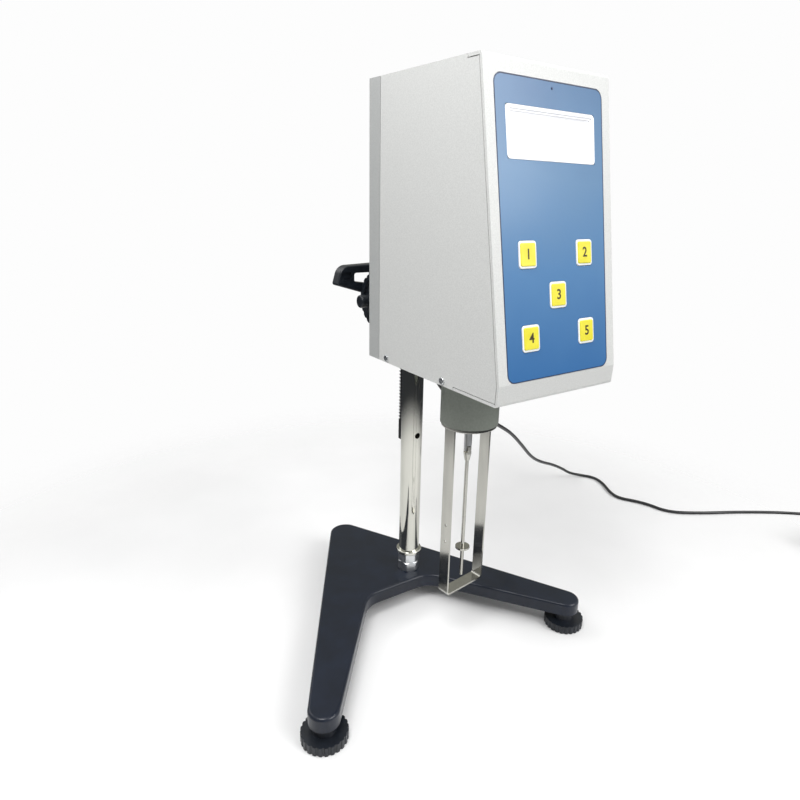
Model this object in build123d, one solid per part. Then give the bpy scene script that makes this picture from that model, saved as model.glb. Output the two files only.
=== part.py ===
from build123d import *
import os
from math import asin, atan2, cos, degrees, hypot, pi, radians, sin, sqrt, tan

os.makedirs("parts", exist_ok=True)

# Rotational viscometer on a rack-and-pinion stand, in millimetres.
# The model is drawn with the column's axis at x = y = 0, the table at z = 0 and the front towards -Y.
# save() then moves every piece so that the origin is under the middle of the whole instrument.

# ---------------------------------------------------------------- driving dimensions
# base casting and feet
COLUMN_OFFSET = 23.8        # column axis to the right of the base's centre line
BASE_TURN = -2.0            # degrees that the base is turned under the column
FOOT_HALF_SPAN = 124.5      # front feet from the base's centre line
FOOT_FRONT_Y = -119.5
APEX_Y = 127.4              # where the outer edges would meet
APEX_R = 16.0
LEG_END_R = 12.2
INNER_EDGE_ANGLE = 37.2     # degrees between a leg's inner edge and the centre line
WEB_Y = -20.3               # front edge of the web behind the V
WEB_CORNER_R = 24.0
BASE_TOP = 27.8
BASE_T = 12.2               # height of the casting's edge
BASE_WALL = 4.0
BASE_PLATE = 5.0
BASE_EDGE_R = 2.5
COLUMN_BOSS_R = 20.0
FOOT_KNOB_R = 17.9
FOOT_KNOB_H = 7.4
FOOT_HUB_R = 9.0
FOOT_HUB_H = 5.2
FOOT_SCALLOPS = 24
FOOT_SCALLOP_R = 1.3
FOOT_SCALLOP_OUT = 0.4          # centres of the scallops outside the rim
FOOT_STEM_R = 4.0           # M8
FOOT_STEM_TOP = 21.0
FOOT_STEM_SINK = 4.0        # how far the stem reaches down into the knob, from the knob's underside
FOOT_SCREW_ROOM = 3.0       # free depth above the stem in its blind hole
FOOT_STEM_CHAMFER = 0.8
FOOT_RIM = 5.0              # solid rim round the recess under the knob
FOOT_RECESS = 1.2
FOOT_HUB_TAPER = 8.0        # degrees

# column, nuts and rack
COLUMN_R = 10.0
COLUMN_TOP = 405.0
STUD_R = 6.0                # M12 end turned on the column
NUT_AF = 19.0
NUT_H = 9.8
UNDER_NUT_H = 6.8
RING_R = 12.4
RING_H = 3.6
MODULE = 1.0
RACK_WIDTH = 11.0
RACK_TIP_Y = 14.0           # tooth tips, behind the column
RACK_SEAT_Y = 6.5           # flat milled in the column
RACK_BOTTOM = 164.4
RACK_TEETH_FROM = 183.7
RACK_TOP = 392.0
RACK_SCREW_UP = 9.0         # lower screw above the rack's end, upper one as far below its top
RACK_SCREW_R = 1.5
RACK_SCREW_HEAD_R = 2.75
RACK_SCREW_HEAD_H = 3.0
RACK_SCREW_SEAT_Y = -2.0    # seat of its head, in a bore from the front
RACK_SCREW_GRIP = 3.0       # its length in the rack
CAP_H = 6.0
CAP_EDGE_R = 3.5
CAP_PEG_R = 3.0
CAP_PEG_L = 10.0
NUT_CHAMFER = 0.9
NUT_TURN = 42.0             # degrees; the upper nut stands a little further round
UPPER_NUT_TURN = 35.0
STUD_PAST_NUT = 1.5
PRESSURE_ANGLE = 20.0
BACKLASH = 0.12             # taken off each gear tooth's thickness

# lift block, pinion, knob and clamp
PINION_TEETH = 16
PINION_W = 8.6
PINION_Z = 297.0
SHAFT_R = 4.0
BLOCK_HALF_W = 17.0
BLOCK_BACK_Y = 34.0
BLOCK_BOTTOM = 268.0
BLOCK_TOP = 336.0
BUSH_R = 12.4
BUSH_L = 12.0
KNOB_R = 23.5
KNOB_W = 10.6
KNOB_RIM = 5.0              # rim round the dished outer face
KNOB_DISH = 2.5
KNOB_BOSS_R = 5.6
KNOB_BOSS_L = 15.0          # boss that stands out from the dish, beyond the rim
KNOB_WEB = 2.0              # left in front of the shaft's end
KNOB_GAP = 1.3
KNOB_FLUTES = 20
KNOB_FLUTE_R = 2.0
KNOB_FLUTE_OUT = 0.9            # centres of the flutes outside the rim
CLAMP_Z = 316.0
CLAMP_SCREW_R = 4.0
SHOE_HALF_W = 8.8
SHOE_H = 12.0
SHOE_BACK_Y = 16.0
LEVER_Y = 45.0              # front face of the clamp lever
LEVER_T = 11.0
LEVER_HUB_R = 10.5
LEVER_END_X = -50.0
LEVER_CORNER_R = 10.0       # upper outer corner
LEVER_CORNER_RISE = -1.0    # its centre above the clamp screw's axis, and so for the next two
LEVER_NOSE_R = 2.0          # lower outer corner
LEVER_NOSE_RISE = -6.5
LEVER_BELLY_R = 3.0         # lowest point of the grip
LEVER_BELLY_RISE = -12.8
LEVER_BELLY_X = -26.0
LEVER_EDGE_R = 1.6
LEVER_WINDOW = ((-35.0, 2.5), (-13.5, 2.5), (-13.5, -8.7), (-35.0, -5.4))   # corners from the screw's axis
LEVER_WINDOW_R = 2.0
LEVER_PANEL_AT = (-42.2, 0.2)
LEVER_PANEL_W = 10.0
LEVER_PANEL_H = 7.0
LEVER_PANEL_DEPTH = 1.8
SCREW_SINK = 2.0            # the clamp screw ends this far inside the lever
BLOCK_CORNER_R = 7.0
BLOCK_SCREW_X = 13.5
BLOCK_SCREW_IN = 16.0       # screws from the block's ends
BLOCK_SCREW_R = 2.0
BLOCK_SCREW_GRIP = 8.0
BLOCK_SCREW_HEAD_R = 3.5
BLOCK_SCREW_HEAD_H = 4.0
SHAFT_STOP_R = 6.5
SHAFT_STOP_L = 2.5
SHAFT_STOP_GAP = 0.3

# head
HEAD_HALF_W = 55.7
HEAD_BACK_Y = -14.9
HEAD_TOP = 465.6
HEAD_BOTTOM = 258.9
CHASSIS_DEPTH = 16.1
CHASSIS_WALL = 2.5
SHEET = 2.0
SEAM = 0.6
FRONT_TOP_Y = -140.3
CHIN_Y = -173.4
CHIN_UP = 14.3              # fold of the chin above the head's bottom
FRONT_BOTTOM_Y = -172.9
FRONT_LIP = 12.0
FRONT_FOLD_R = 2.6
PANEL_HALF_W = 47.9
PANEL_S0 = 10.2             # distances down the front face from its top edge
PANEL_FOOT = 0.43           # left below the panel, above the fold of the chin
PANEL_T = 0.7
PANEL_CORNER_R = 6.0
LCD_HALF_W = 39.8
LCD_S0 = 26.6
LCD_S1 = 58.3
KEY_W = 15.4
KEY_H = 17.2
KEY_CORNER_R = 2.5
KEY_PROUD = 0.5
KEY_GAP = 0.25
KEY_TRAVEL = 0.5
KEY_X = 26.4
KEY_ROW_STEPS = (26.5, 26.1)
KEYS_LOW = 0.27736          # part of the free height under the display that lies below the keys
KEY_FLANGE = 1.2
KEY_FLANGE_EDGE = 1.5
KEY_BACK = 0.6              # the flange's rest behind the front plate
KEY_STEM_R = 2.5
KEY_STEM_DEPTH = 5.0
KEY_SWITCH = 6.0                # side of the switch on the board behind each key
KEY_SWITCH_GAP = 0.1            # left over the switch when its key is pressed
KEY_EDGE_R = 0.4
FIT_GAP = 0.3               # round the panel in its recess
BOARD_DEPTH = 9.0           # control board behind the front plate's outer face
BOARD_T = 1.6
BOARD_HALF_W = 44.0
BOARD_MARGIN = 10.0         # past the keys above and below
BOARD_STUD_R = 2.5
BOARD_STUD_X = 40.0
CHIP_H = 3.0
# each chip's x, place down from the board's lower edge, width and height
CHIPS = ((-20.0, -12.0, 14.0, 10.0), (8.0, -14.0, 18.0, 18.0), (28.0, -56.0, 10.0, 24.0))
LCD_REVEAL = 1.0            # cut in the front plate round the display's window
LCD_CORNER_R = 1.5
LCD_PANE_GAP = 0.1
LCD_GLASS_DEPTH = 1.1
LCD_GLASS_T = 1.2
LCD_FRAME_EDGE = 3.0
LCD_FRAME_T = 4.7
LCD_BOARD_EDGE = 5.0
SIDE_SCREW_R = 2.6
SIDE_SCREW_YS = (-42.9, -115.6)
SIDE_SCREW_UP = 3.7         # above the head's bottom
SIDE_SCREW_HEAD_H = 1.3
SIDE_SCREW_GRIP = 5.0
SIDE_SLOT_L = 3.2
SIDE_SLOT_W = 0.7
FLANGE_UP = 9.0             # folded edges of the bottom plate
CHASSIS_EDGE_R = 1.5
SWITCH_X = 36.0
SWITCH_Z = 290.0
SWITCH_HALF_W = 6.5
SWITCH_HALF_H = 9.6
SWITCH_DEPTH = 15.0
SWITCH_WALL = 1.2
SWITCH_FLANGE = 1.5
SWITCH_PIVOT_DEPTH = 2.5
SWITCH_PIVOT_R = 1.0
SWITCH_THROW = 9.0          # degrees each way
ROCKER_RISE = 4.4           # middle ridge above the pivot
ROCKER_GAP = 0.5            # above and below it in the housing
ROCKER_SIDE_GAP = 0.25
LEVEL_Y = -92.0
LEVEL_R = 9.0
LEVEL_H = 5.0
LEVEL_FLOOR = 1.2
VIAL_R = 7.0
VIAL_H = 3.2

# spindle line
SPINDLE_Y = -81.9
COLLAR_R = 23.9
COLLAR_BORE_R = 19.6
COLLAR_BOTTOM = 211.3
COLLAR_NECK_R = 14.0        # passes up through the bottom plate
COLLAR_NECK_H = 3.0
COLLAR_TOP_T = 4.0
SHAFT_HOLE_R = 4.5
GUARD_RING_R = 22.9
GUARD_RING_BOTTOM = 208.4
GUARD_SPIGOT_R = 20.8
GUARD_SPIGOT_H = 6.0
GUARD_SPIGOT_WALL = 2.4
GUARD_RING_EDGE_R = 0.6
GUARD_TURN = 6.7            # degrees that the guard stands turned about the spindle
GUARD_HALF_W = 22.1
GUARD_STRIP_T = 1.6
GUARD_STRIP_W = 10.6
GUARD_BOTTOM = 55.5
GUARD_CORNER_R = 3.5
GUARD_SEAT = 1.8            # how far the strip's ends reach up into the ring
GUARD_BEND_H = 40.0         # height of the bent part, below the straight legs
GUARD_HOLE_R = 1.3
GUARD_HOLES = (51.7, 67.2)  # up the left leg
JOINT_Z = 187.2
SOCKET_R = 3.25
CROSS_HALF = 2.0
CROSS_PIN_R = 0.6
FORK_SLOT_HALF = 2.12
FORK_EAR_HALF = 1.6
FORK_NECK = 3.0             # solid part of each fork starts this far from the joint's centre
FORK_END = 2.0              # each fork's ears end this far past the centre
CROSS_HALF_H = 1.4
PIN_SHORT = 0.1             # the cross's pins end inside the ears
COUPLING_TAPER = 6.0
COUPLING_TIP_R = 2.1
SPINDLE_THREAD_R = 1.2
SPINDLE_THREAD_L = 5.0
SPINDLE_TIP = 65.9
SPINDLE_ROD_R = 1.6
SPINDLE_DISC_Z = 93.8
SPINDLE_DISC_R = 6.35
SPINDLE_DISC_T = 1.65
SPINDLE_MARK_Z = 124.0
SPINDLE_MARK_W = 1.0
SPINDLE_MARK_DEPTH = 0.2
COUPLING_BOTTOM = 176.5

# drive inside the head
GEAR_MODULE = 0.8
GEAR_TEETH = 48
MOTOR_PINION_TEETH = 12
GEAR_W = 6.0
PINION_OVER = 0.5               # the motor's pinion is this much wider at each side
GEAR_UP = 27.1              # gear above the head's bottom
WHEEL_HOLES = 6
WHEEL_HOLE_R = 3.2
WHEEL_HOLES_AT = 11.0
QUILL_R = 4.0
QUILL_BORE_R = 2.2
QUILL_LAND = 4.0            # length of the lands that carry the measuring shaft
MEASURING_SHAFT_R = 1.5
MOTOR_R = 21.0
MOTOR_H = 30.0
MOTOR_SHAFT_R = 1.5
MOTOR_SHAFT_GRIP = 11.0
BRACKET_UP = 44.1           # top of the bracket above the head's bottom
BRACKET_HALF_W = 31.0
BRACKET_T = 3.0
BRACKET_FRONT = 28.0        # ahead of the spindle
BRACKET_BACK = 4.0          # behind the motor
BRACKET_EAR = 9.0
BEARING_R = 8.0
BEARING_H = 4.0
BEARING_WALL = 3.0
BEARING_DROP = 7.0          # lower bearing's underside below the bracket's top
BEARING_RISE = 5.0          # upper bearing's top above it
CUP_R = 12.0
CUP_WALL = 1.2
CUP_FLOOR = 1.6
CUP_H = 9.0
CUP_GAP = 1.4               # over the upper bearing
SPRING_UP = 4.0             # spring above the cup's underside
SPRING_H = 2.0
SPRING_T = 0.35
SPRING_STEP = 1.1           # from one turn to the next
SPRING_HUB_R = 2.4
SPRING_GAP = 0.4            # to the cup's wall
DISC_R = 21.0
DISC_T = 1.0
DISC_SLOT_W = 2.0
DISC_SLOT_L = 6.0
DISC_UP = 2.0               # upper disc above the quill's end
DISC_SPACING = 8.0          # between the two discs
QUILL_BELOW_GEAR = 10.0
DISC_HUB_R = 4.0
GATE_HALF_W = 4.0
GATE_REACH = 6.0
GATE_EDGE = 3.5

SOCKET_SHARE = 0.8          # a socket's half width, of the screw's radius
RUN = 0.05                  # radial clearance of a running fit
FREE = 0.4                  # clearance of a moving piece beside a wall

# lead, plug and adaptor
LEAD_R = 1.9
JACK_FROM_SIDE = 15.7
JACK_Y = -57.9
JACK_R = 6.5
JACK_FLANGE_R = 8.0
JACK_H = 16.0
JACK_WELL_R = 5.0           # well that the plug's body stands in
JACK_WELL = 4.0
JACK_PIN_R = 2.75
JACK_PIN_DEPTH = 9.5        # free depth of the bore behind the well
PLUG_R = 4.4
PLUG_DROP = 6.4             # how far the plug's body hangs below the bottom plate
PLUG_ARM_R = 3.2
PLUG_ARM_END_R = 2.4
PLUG_ARM_L = 18.0
PLUG_EDGE_R = 1.0
# centre line of the lead from the plug to its coil; it lies on the table from the fifteenth point on
LEAD_ROUTE = [
    (-24.3, -50.0, 251.9), (-13.9, -44.7, 249.4), (-5.5, -41.0, 241.5), (2.0, -37.5, 229.5),
    (20.0, -32.0, 213.5), (58.0, -24.0, 190.0), (103.5, -8.0, 163.0), (138.0, 8.0, 142.0),
    (172.4, 25.0, 115.4), (212.7, 45.0, 82.0), (248.0, 60.0, 61.0), (290.0, 77.0, 41.0),
    (326.0, 88.0, 21.0), (345.0, 92.0, 8.5), (364.5, 88.0, LEAD_R), (376.0, 72.0, LEAD_R),
    (372.0, 52.0, LEAD_R), (357.0, 28.0, LEAD_R), (353.0, 10.0, LEAD_R), (364.0, -6.0, LEAD_R),
    (372.0, -24.0, LEAD_R), (374.0, -42.0, LEAD_R), (383.0, -56.0, LEAD_R), (399.0, -68.0, LEAD_R),
    (421.0, -82.0, LEAD_R), (455.0, -101.0, LEAD_R), (496.0, -128.0, LEAD_R), (523.0, -150.0, LEAD_R),
    (543.2, -168.6, LEAD_R),
]
LEAD_DROP_COUNT = 17        # points before the middle of the run where the moving and the lying stretch meet
COIL_TURN_R = 22.9          # outer turns of the coil
COIL_CLEAR = 20.0           # the coil's first turn stays clear of the lead's last run over this length
COIL_END = 14.0             # straight end that leaves the coil
COIL_LAYERS = 3             # turns on each other; two lie beside each other
ADAPTOR_L = 58.0
ADAPTOR_W = 38.0
ADAPTOR_H = 28.0
ADAPTOR_EDGE_R = 4.0
RELIEF_L = 14.0
RELIEF_R = 3.4
PRONG_W = 6.3
PRONG_T = 1.5
PRONG_L = 16.0
PRONG_SPACING = 12.7

# ---------------------------------------------------------------- worked out from them
PINION_R = MODULE * PINION_TEETH / 2
RACK_PITCH_Y = RACK_TIP_Y - MODULE
PINION_Y = RACK_PITCH_Y + PINION_R
BASE_BOTTOM = BASE_TOP - BASE_T
RING_Z = BASE_TOP + 2 * NUT_H
COLUMN_BOTTOM = RING_Z + RING_H
CHIN_Z = HEAD_BOTTOM + CHIN_UP
FRONT_TILT = degrees(atan2(FRONT_TOP_Y - CHIN_Y, HEAD_TOP - CHIN_Z))
FRONT = Plane(origin=(0, FRONT_TOP_Y, HEAD_TOP), x_dir=(1, 0, 0),
              z_dir=(0, -cos(radians(FRONT_TILT)), sin(radians(FRONT_TILT))))
NOSE_Y = CHIN_Y - FRONT_LIP  # clear of the head, for the cuts
FRONT_LENGTH = hypot(FRONT_TOP_Y - CHIN_Y, HEAD_TOP - CHIN_Z)
PANEL_S1 = FRONT_LENGTH - PANEL_FOOT
PANEL_MIDDLE = (PANEL_S0 + PANEL_S1) / 2
LCD_H = LCD_S1 - LCD_S0
LCD_MIDDLE = (LCD_S0 + LCD_S1) / 2
KEYS_FREE = PANEL_S1 - LCD_S1 - KEY_H - sum(KEY_ROW_STEPS)
LAST_ROW = PANEL_S1 - KEYS_LOW * KEYS_FREE - KEY_H / 2
KEY_ROWS = (LAST_ROW - sum(KEY_ROW_STEPS), LAST_ROW - KEY_ROW_STEPS[1], LAST_ROW)
BOARD_S0 = KEY_ROWS[0] - KEY_H / 2 - BOARD_MARGIN
BOARD_S1 = KEY_ROWS[-1] + KEY_H / 2 + BOARD_MARGIN
CHASSIS_FRONT_Y = HEAD_BACK_Y - CHASSIS_DEPTH
SIDE_SCREWS = [(y, HEAD_BOTTOM + SIDE_SCREW_UP) for y in SIDE_SCREW_YS]
SWITCH_CUT = (SWITCH_X - SWITCH_HALF_W, SWITCH_X + SWITCH_HALF_W, HEAD_BACK_Y - CHASSIS_WALL - 1,
              HEAD_BACK_Y + 1, SWITCH_Z - SWITCH_HALF_H, SWITCH_Z + SWITCH_HALF_H)
SWITCH_PIVOT_Y = HEAD_BACK_Y - SWITCH_PIVOT_DEPTH
ROCKER_HALF_H = SWITCH_HALF_H - SWITCH_WALL - ROCKER_GAP
BLOCK_SCREW_ZS = (BLOCK_BOTTOM + BLOCK_SCREW_IN, BLOCK_TOP - BLOCK_SCREW_IN)
RACK_SCREW_ZS = (RACK_BOTTOM + RACK_SCREW_UP, RACK_TOP - RACK_SCREW_UP)
GEAR_CENTRES = GEAR_MODULE * (GEAR_TEETH + MOTOR_PINION_TEETH) / 2
MOTOR_Y = SPINDLE_Y + GEAR_CENTRES
GEAR_Z = HEAD_BOTTOM + GEAR_UP
BRACKET_TOP = HEAD_BOTTOM + BRACKET_UP
QUILL_BOTTOM = GEAR_Z - QUILL_BELOW_GEAR
UPPER_DISC_Z = QUILL_BOTTOM + DISC_UP
LOWER_DISC_Z = UPPER_DISC_Z - DISC_SPACING
BEARING_Z0 = BRACKET_TOP - BEARING_DROP
BEARING_Z1 = BRACKET_TOP + BEARING_RISE
CUP_Z0 = BEARING_Z1 + CUP_GAP
CUP_Z1 = CUP_Z0 + CUP_H
SPRING_Z = CUP_Z0 + SPRING_UP
JACK_AT = (JACK_FROM_SIDE - HEAD_HALF_W, JACK_Y)


def base_point(x, y):
    """A point given from the base's centre line, turned with the base about the column."""
    a = radians(BASE_TURN)
    x -= COLUMN_OFFSET
    return (x * cos(a) - y * sin(a), x * sin(a) + y * cos(a))


OUTER_ANGLE = degrees(atan2(FOOT_HALF_SPAN, APEX_Y - FOOT_FRONT_Y)
                      + asin(LEG_END_R / hypot(FOOT_HALF_SPAN, APEX_Y - FOOT_FRONT_Y)))
REAR_FOOT_Y = APEX_Y - APEX_R / sin(radians(OUTER_ANGLE))
FEET = {
    "left": base_point(-FOOT_HALF_SPAN, FOOT_FRONT_Y),
    "right": base_point(FOOT_HALF_SPAN, FOOT_FRONT_Y),
    "rear": base_point(0, REAR_FOOT_Y),
}
KEYS = [(-KEY_X, KEY_ROWS[0]), (KEY_X, KEY_ROWS[0]), (0, KEY_ROWS[1]),
        (-KEY_X, KEY_ROWS[2]), (KEY_X, KEY_ROWS[2])]
CENTRE_X = (FEET["left"][0] + FEET["right"][0]) / 2
CENTRE_Y = (min(CHIN_Y, FRONT_BOTTOM_Y) + FEET["rear"][1] + FOOT_KNOB_R) / 2


# ---------------------------------------------------------------- helpers
def save(node, shape):
    """Write one solid, or a list of separate solids, as one node."""
    solids = shape if isinstance(shape, list) else [shape]
    moved = [Pos(-CENTRE_X, -CENTRE_Y, 0) * solid for solid in solids]
    export_step(Compound(children=moved) if len(moved) > 1 else moved[0], f"parts/{node}.step")


def upright(radius, z0, z1, at=(0, 0)):
    return Pos(at[0], at[1], (z0 + z1) / 2) * Cylinder(radius, z1 - z0)


def along_x(radius, x0, x1, y, z):
    return Pos((x0 + x1) / 2, y, z) * Rot(0, 90, 0) * Cylinder(radius, x1 - x0)


def along_y(radius, y0, y1, x, z):
    return Pos(x, (y0 + y1) / 2, z) * Rot(90, 0, 0) * Cylinder(radius, y1 - y0)


def block(x0, x1, y0, y1, z0, z1):
    return Pos((x0 + x1) / 2, (y0 + y1) / 2, (z0 + z1) / 2) * Box(x1 - x0, y1 - y0, z1 - z0)


def hexagon(across_flats, z0, z1, at=(0, 0), turn=0.0):
    sketch = RegularPolygon(across_flats / 2, 6, major_radius=False, rotation=turn)
    return Pos(at[0], at[1], z0) * extrude(sketch, z1 - z0)


def hex_socket(screw_r, y, x, z):
    """Hexagon socket in a screw's head that faces the front."""
    recess = extrude(RegularPolygon(SOCKET_SHARE * screw_r, 6, major_radius=False), 2 * screw_r)
    return Pos(x, y, z) * Rot(90, 0, 0) * Pos(0, 0, -screw_r) * recess


def on_front(x, s, depth=0.0):
    """A place on the sloping front: x across, s down from its top edge, depth inwards."""
    return FRONT * Pos(x, -s, -depth)


def involute(a):
    return tan(a) - a


def gear_face(module, teeth, backlash=BACKLASH, addendum=1.0, dedendum=1.2, steps=4):
    """A spur gear's outline with involute flanks, with a tooth's middle on +X."""
    pitch_r = module * teeth / 2
    base_r = pitch_r * cos(radians(PRESSURE_ANGLE))
    tip_r = pitch_r + addendum * module
    root_r = pitch_r - dedendum * module
    half = pi / (2 * teeth) - backlash / (2 * pitch_r) + involute(radians(PRESSURE_ANGLE))
    start_r = max(base_r, root_r)
    flank = []
    for i in range(steps):
        r = start_r + (tip_r - start_r) * i / (steps - 1)
        roll = sqrt(max((r / base_r) ** 2 - 1, 0))
        flank.append((r, half - (roll - atan2(roll, 1))))
    if root_r < start_r:
        flank.insert(0, (root_r, flank[0][1]))
    points = []
    for k in range(teeth):
        middle = 2 * pi * k / teeth
        points += [(r * cos(middle - a), r * sin(middle - a)) for r, a in flank]
        points += [(r * cos(middle + a), r * sin(middle + a)) for r, a in reversed(flank)]
    return make_face(Polyline(*points, close=True))


# ---------------------------------------------------------------- base and feet
def base_casting():
    a = radians(INNER_EDGE_ANGLE)
    out = radians(OUTER_ANGLE)
    foot = (FOOT_HALF_SPAN, FOOT_FRONT_Y)
    outer = (foot[0] + LEG_END_R * cos(out), foot[1] + LEG_END_R * sin(out))
    inner = (foot[0] - LEG_END_R * cos(a), foot[1] - LEG_END_R * sin(a))
    web_x = inner[0] - (WEB_Y - inner[1]) * tan(a)
    half = [(0, APEX_Y), outer, inner, (web_x, WEB_Y)]
    outline = make_face(Polyline(*half, *[(-x, y) for x, y in reversed(half[1:])], close=True))
    outline = fillet(outline.vertices().sort_by(Axis.Y)[-1], APEX_R)
    webs = [v for v in outline.vertices() if abs(v.Y - WEB_Y) < 0.01]
    outline = fillet(webs, WEB_CORNER_R)
    for side in (-1, 1):
        outline += Pos(side * foot[0], foot[1]) * Circle(LEG_END_R)
    solid = Pos(0, 0, BASE_BOTTOM) * extrude(outline, BASE_T)
    solid = fillet(solid.edges().group_by(Axis.Z)[-1], BASE_EDGE_R)
    pocket = offset(outline, -BASE_WALL)
    hollow = Pos(0, 0, BASE_BOTTOM) * extrude(pocket, BASE_T - BASE_PLATE)
    hollow -= upright(COLUMN_BOSS_R, BASE_BOTTOM, BASE_TOP, (COLUMN_OFFSET, 0))
    for x, y in ((-foot[0], foot[1]), foot, (0, REAR_FOOT_Y)):
        hollow -= upright(LEG_END_R, BASE_BOTTOM, BASE_TOP, (x, y))
        rib = hypot(x - COLUMN_OFFSET, y)
        turn = degrees(atan2(y, x - COLUMN_OFFSET))
        hollow -= (Pos(COLUMN_OFFSET, 0, BASE_BOTTOM + BASE_T / 2) * Rot(0, 0, turn)
                   * Pos(rib / 2, 0, 0) * Box(rib, BASE_WALL, BASE_T))
    solid -= hollow
    solid = Rot(0, 0, BASE_TURN) * Pos(-COLUMN_OFFSET, 0, 0) * solid
    solid -= upright(STUD_R, BASE_BOTTOM - 1, BASE_TOP + 1)
    for at in FEET.values():
        solid -= upright(FOOT_STEM_R + RUN, BASE_BOTTOM - 1, FOOT_STEM_TOP + FOOT_SCREW_ROOM, at)
    return solid


def foot_stem(at):
    stem = upright(FOOT_STEM_R, FOOT_STEM_SINK, FOOT_STEM_TOP, at)
    return chamfer(stem.edges().group_by(Axis.Z)[-1], FOOT_STEM_CHAMFER)


def foot_knob(at):
    profile = Circle(FOOT_KNOB_R)
    for k in range(FOOT_SCALLOPS):
        scallop = Pos(FOOT_KNOB_R + FOOT_SCALLOP_OUT, 0) * Circle(FOOT_SCALLOP_R)
        profile -= Rot(0, 0, 360 * k / FOOT_SCALLOPS) * scallop
    disc = extrude(profile, FOOT_KNOB_H)
    hub = Pos(0, 0, FOOT_KNOB_H) * extrude(Circle(FOOT_HUB_R), FOOT_HUB_H, taper=FOOT_HUB_TAPER)
    knob = disc + hub
    recess = upright(FOOT_KNOB_R - FOOT_RIM, -1, FOOT_RECESS) - upright(FOOT_HUB_R, -1, FOOT_KNOB_H)
    knob -= recess
    knob -= upright(FOOT_STEM_R + RUN, FOOT_STEM_SINK - RUN, FOOT_KNOB_H + FOOT_HUB_H + 1)
    return Pos(at[0], at[1], 0) * knob


# ---------------------------------------------------------------- column, nuts and rack
def column():
    bar = upright(COLUMN_R, COLUMN_BOTTOM, COLUMN_TOP)
    bar = chamfer(bar.edges().group_by(Axis.Z)[-1], 1.0)
    bar += upright(STUD_R, BASE_BOTTOM - UNDER_NUT_H - STUD_PAST_NUT, COLUMN_BOTTOM)
    bar -= block(-RACK_WIDTH / 2, RACK_WIDTH / 2, RACK_SEAT_Y, COLUMN_R + 1, RACK_BOTTOM, RACK_TOP)
    for z in RACK_SCREW_ZS:
        bar -= along_y(RACK_SCREW_HEAD_R + RUN, -COLUMN_R - 1, RACK_SCREW_SEAT_Y, 0, z)
        bar -= along_y(RACK_SCREW_R, RACK_SCREW_SEAT_Y - 1, COLUMN_R, 0, z)
    bar -= upright(CAP_PEG_R, COLUMN_TOP - CAP_PEG_L - 2, COLUMN_TOP + 1)
    return bar


def column_cap():
    cap = upright(COLUMN_R, COLUMN_TOP, COLUMN_TOP + CAP_H)
    cap = fillet(cap.edges().group_by(Axis.Z)[-1], CAP_EDGE_R)
    return cap + upright(CAP_PEG_R, COLUMN_TOP - CAP_PEG_L, COLUMN_TOP)


def column_ring():
    ring = upright(RING_R, RING_Z, COLUMN_BOTTOM)
    ring = fillet(ring.edges(), 1.0)
    return ring - upright(STUD_R, RING_Z - 1, COLUMN_BOTTOM + 1)


def nut(z0, height, turn=0.0):
    body = hexagon(NUT_AF, z0, z0 + height, turn=turn)
    crown = Pos(0, 0, z0 + height / 2) * Cylinder(NUT_AF / 2 * 1.1, height)
    crown = chamfer(crown.edges(), NUT_CHAMFER)
    return (body & crown) - upright(STUD_R, z0 - 1, z0 + height + 1)


def lock_nuts():
    return [nut(BASE_TOP, NUT_H, NUT_TURN), nut(BASE_TOP + NUT_H, NUT_H, UPPER_NUT_TURN),
            nut(BASE_BOTTOM - UNDER_NUT_H, UNDER_NUT_H)]


def rack():
    """A rack with a tooth's middle level with the pinion's axis."""
    pitch = pi * MODULE
    bar = block(-RACK_WIDTH / 2, RACK_WIDTH / 2, RACK_SEAT_Y, RACK_TIP_Y, RACK_BOTTOM, RACK_TOP)
    slope = tan(radians(PRESSURE_ANGLE))
    root_y = RACK_PITCH_Y - 1.25 * MODULE
    root = pitch / 4 - (RACK_PITCH_Y - root_y) * slope
    tip = pitch / 4 + (RACK_TIP_Y + 0.5 - RACK_PITCH_Y) * slope
    first = int((RACK_TEETH_FROM - PINION_Z) / pitch)
    count = int((RACK_TOP - RACK_TEETH_FROM) / pitch)
    points = [(root_y, -root), (RACK_TIP_Y + 0.5, -tip), (RACK_TIP_Y + 0.5, tip), (root_y, root)]
    space = make_face(Polyline(*points, close=True))
    spaces = [Plane.YZ * Pos(0, PINION_Z + (first + k + 0.5) * pitch) * space for k in range(count)]
    bar -= extrude(Sketch(children=spaces), RACK_WIDTH, both=True)
    for z in RACK_SCREW_ZS:
        bar -= along_y(RACK_SCREW_R, RACK_SEAT_Y - 1, RACK_SEAT_Y + RACK_SCREW_GRIP, 0, z)
    return bar


def rack_screws():
    screws = []
    for z in RACK_SCREW_ZS:
        face = RACK_SCREW_SEAT_Y - RACK_SCREW_HEAD_H
        head = along_y(RACK_SCREW_HEAD_R, face, RACK_SCREW_SEAT_Y, 0, z)
        head -= hex_socket(RACK_SCREW_R, face, 0, z)
        screws.append(head + along_y(RACK_SCREW_R, RACK_SCREW_SEAT_Y, RACK_SEAT_Y + RACK_SCREW_GRIP, 0, z))
    return screws


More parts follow.
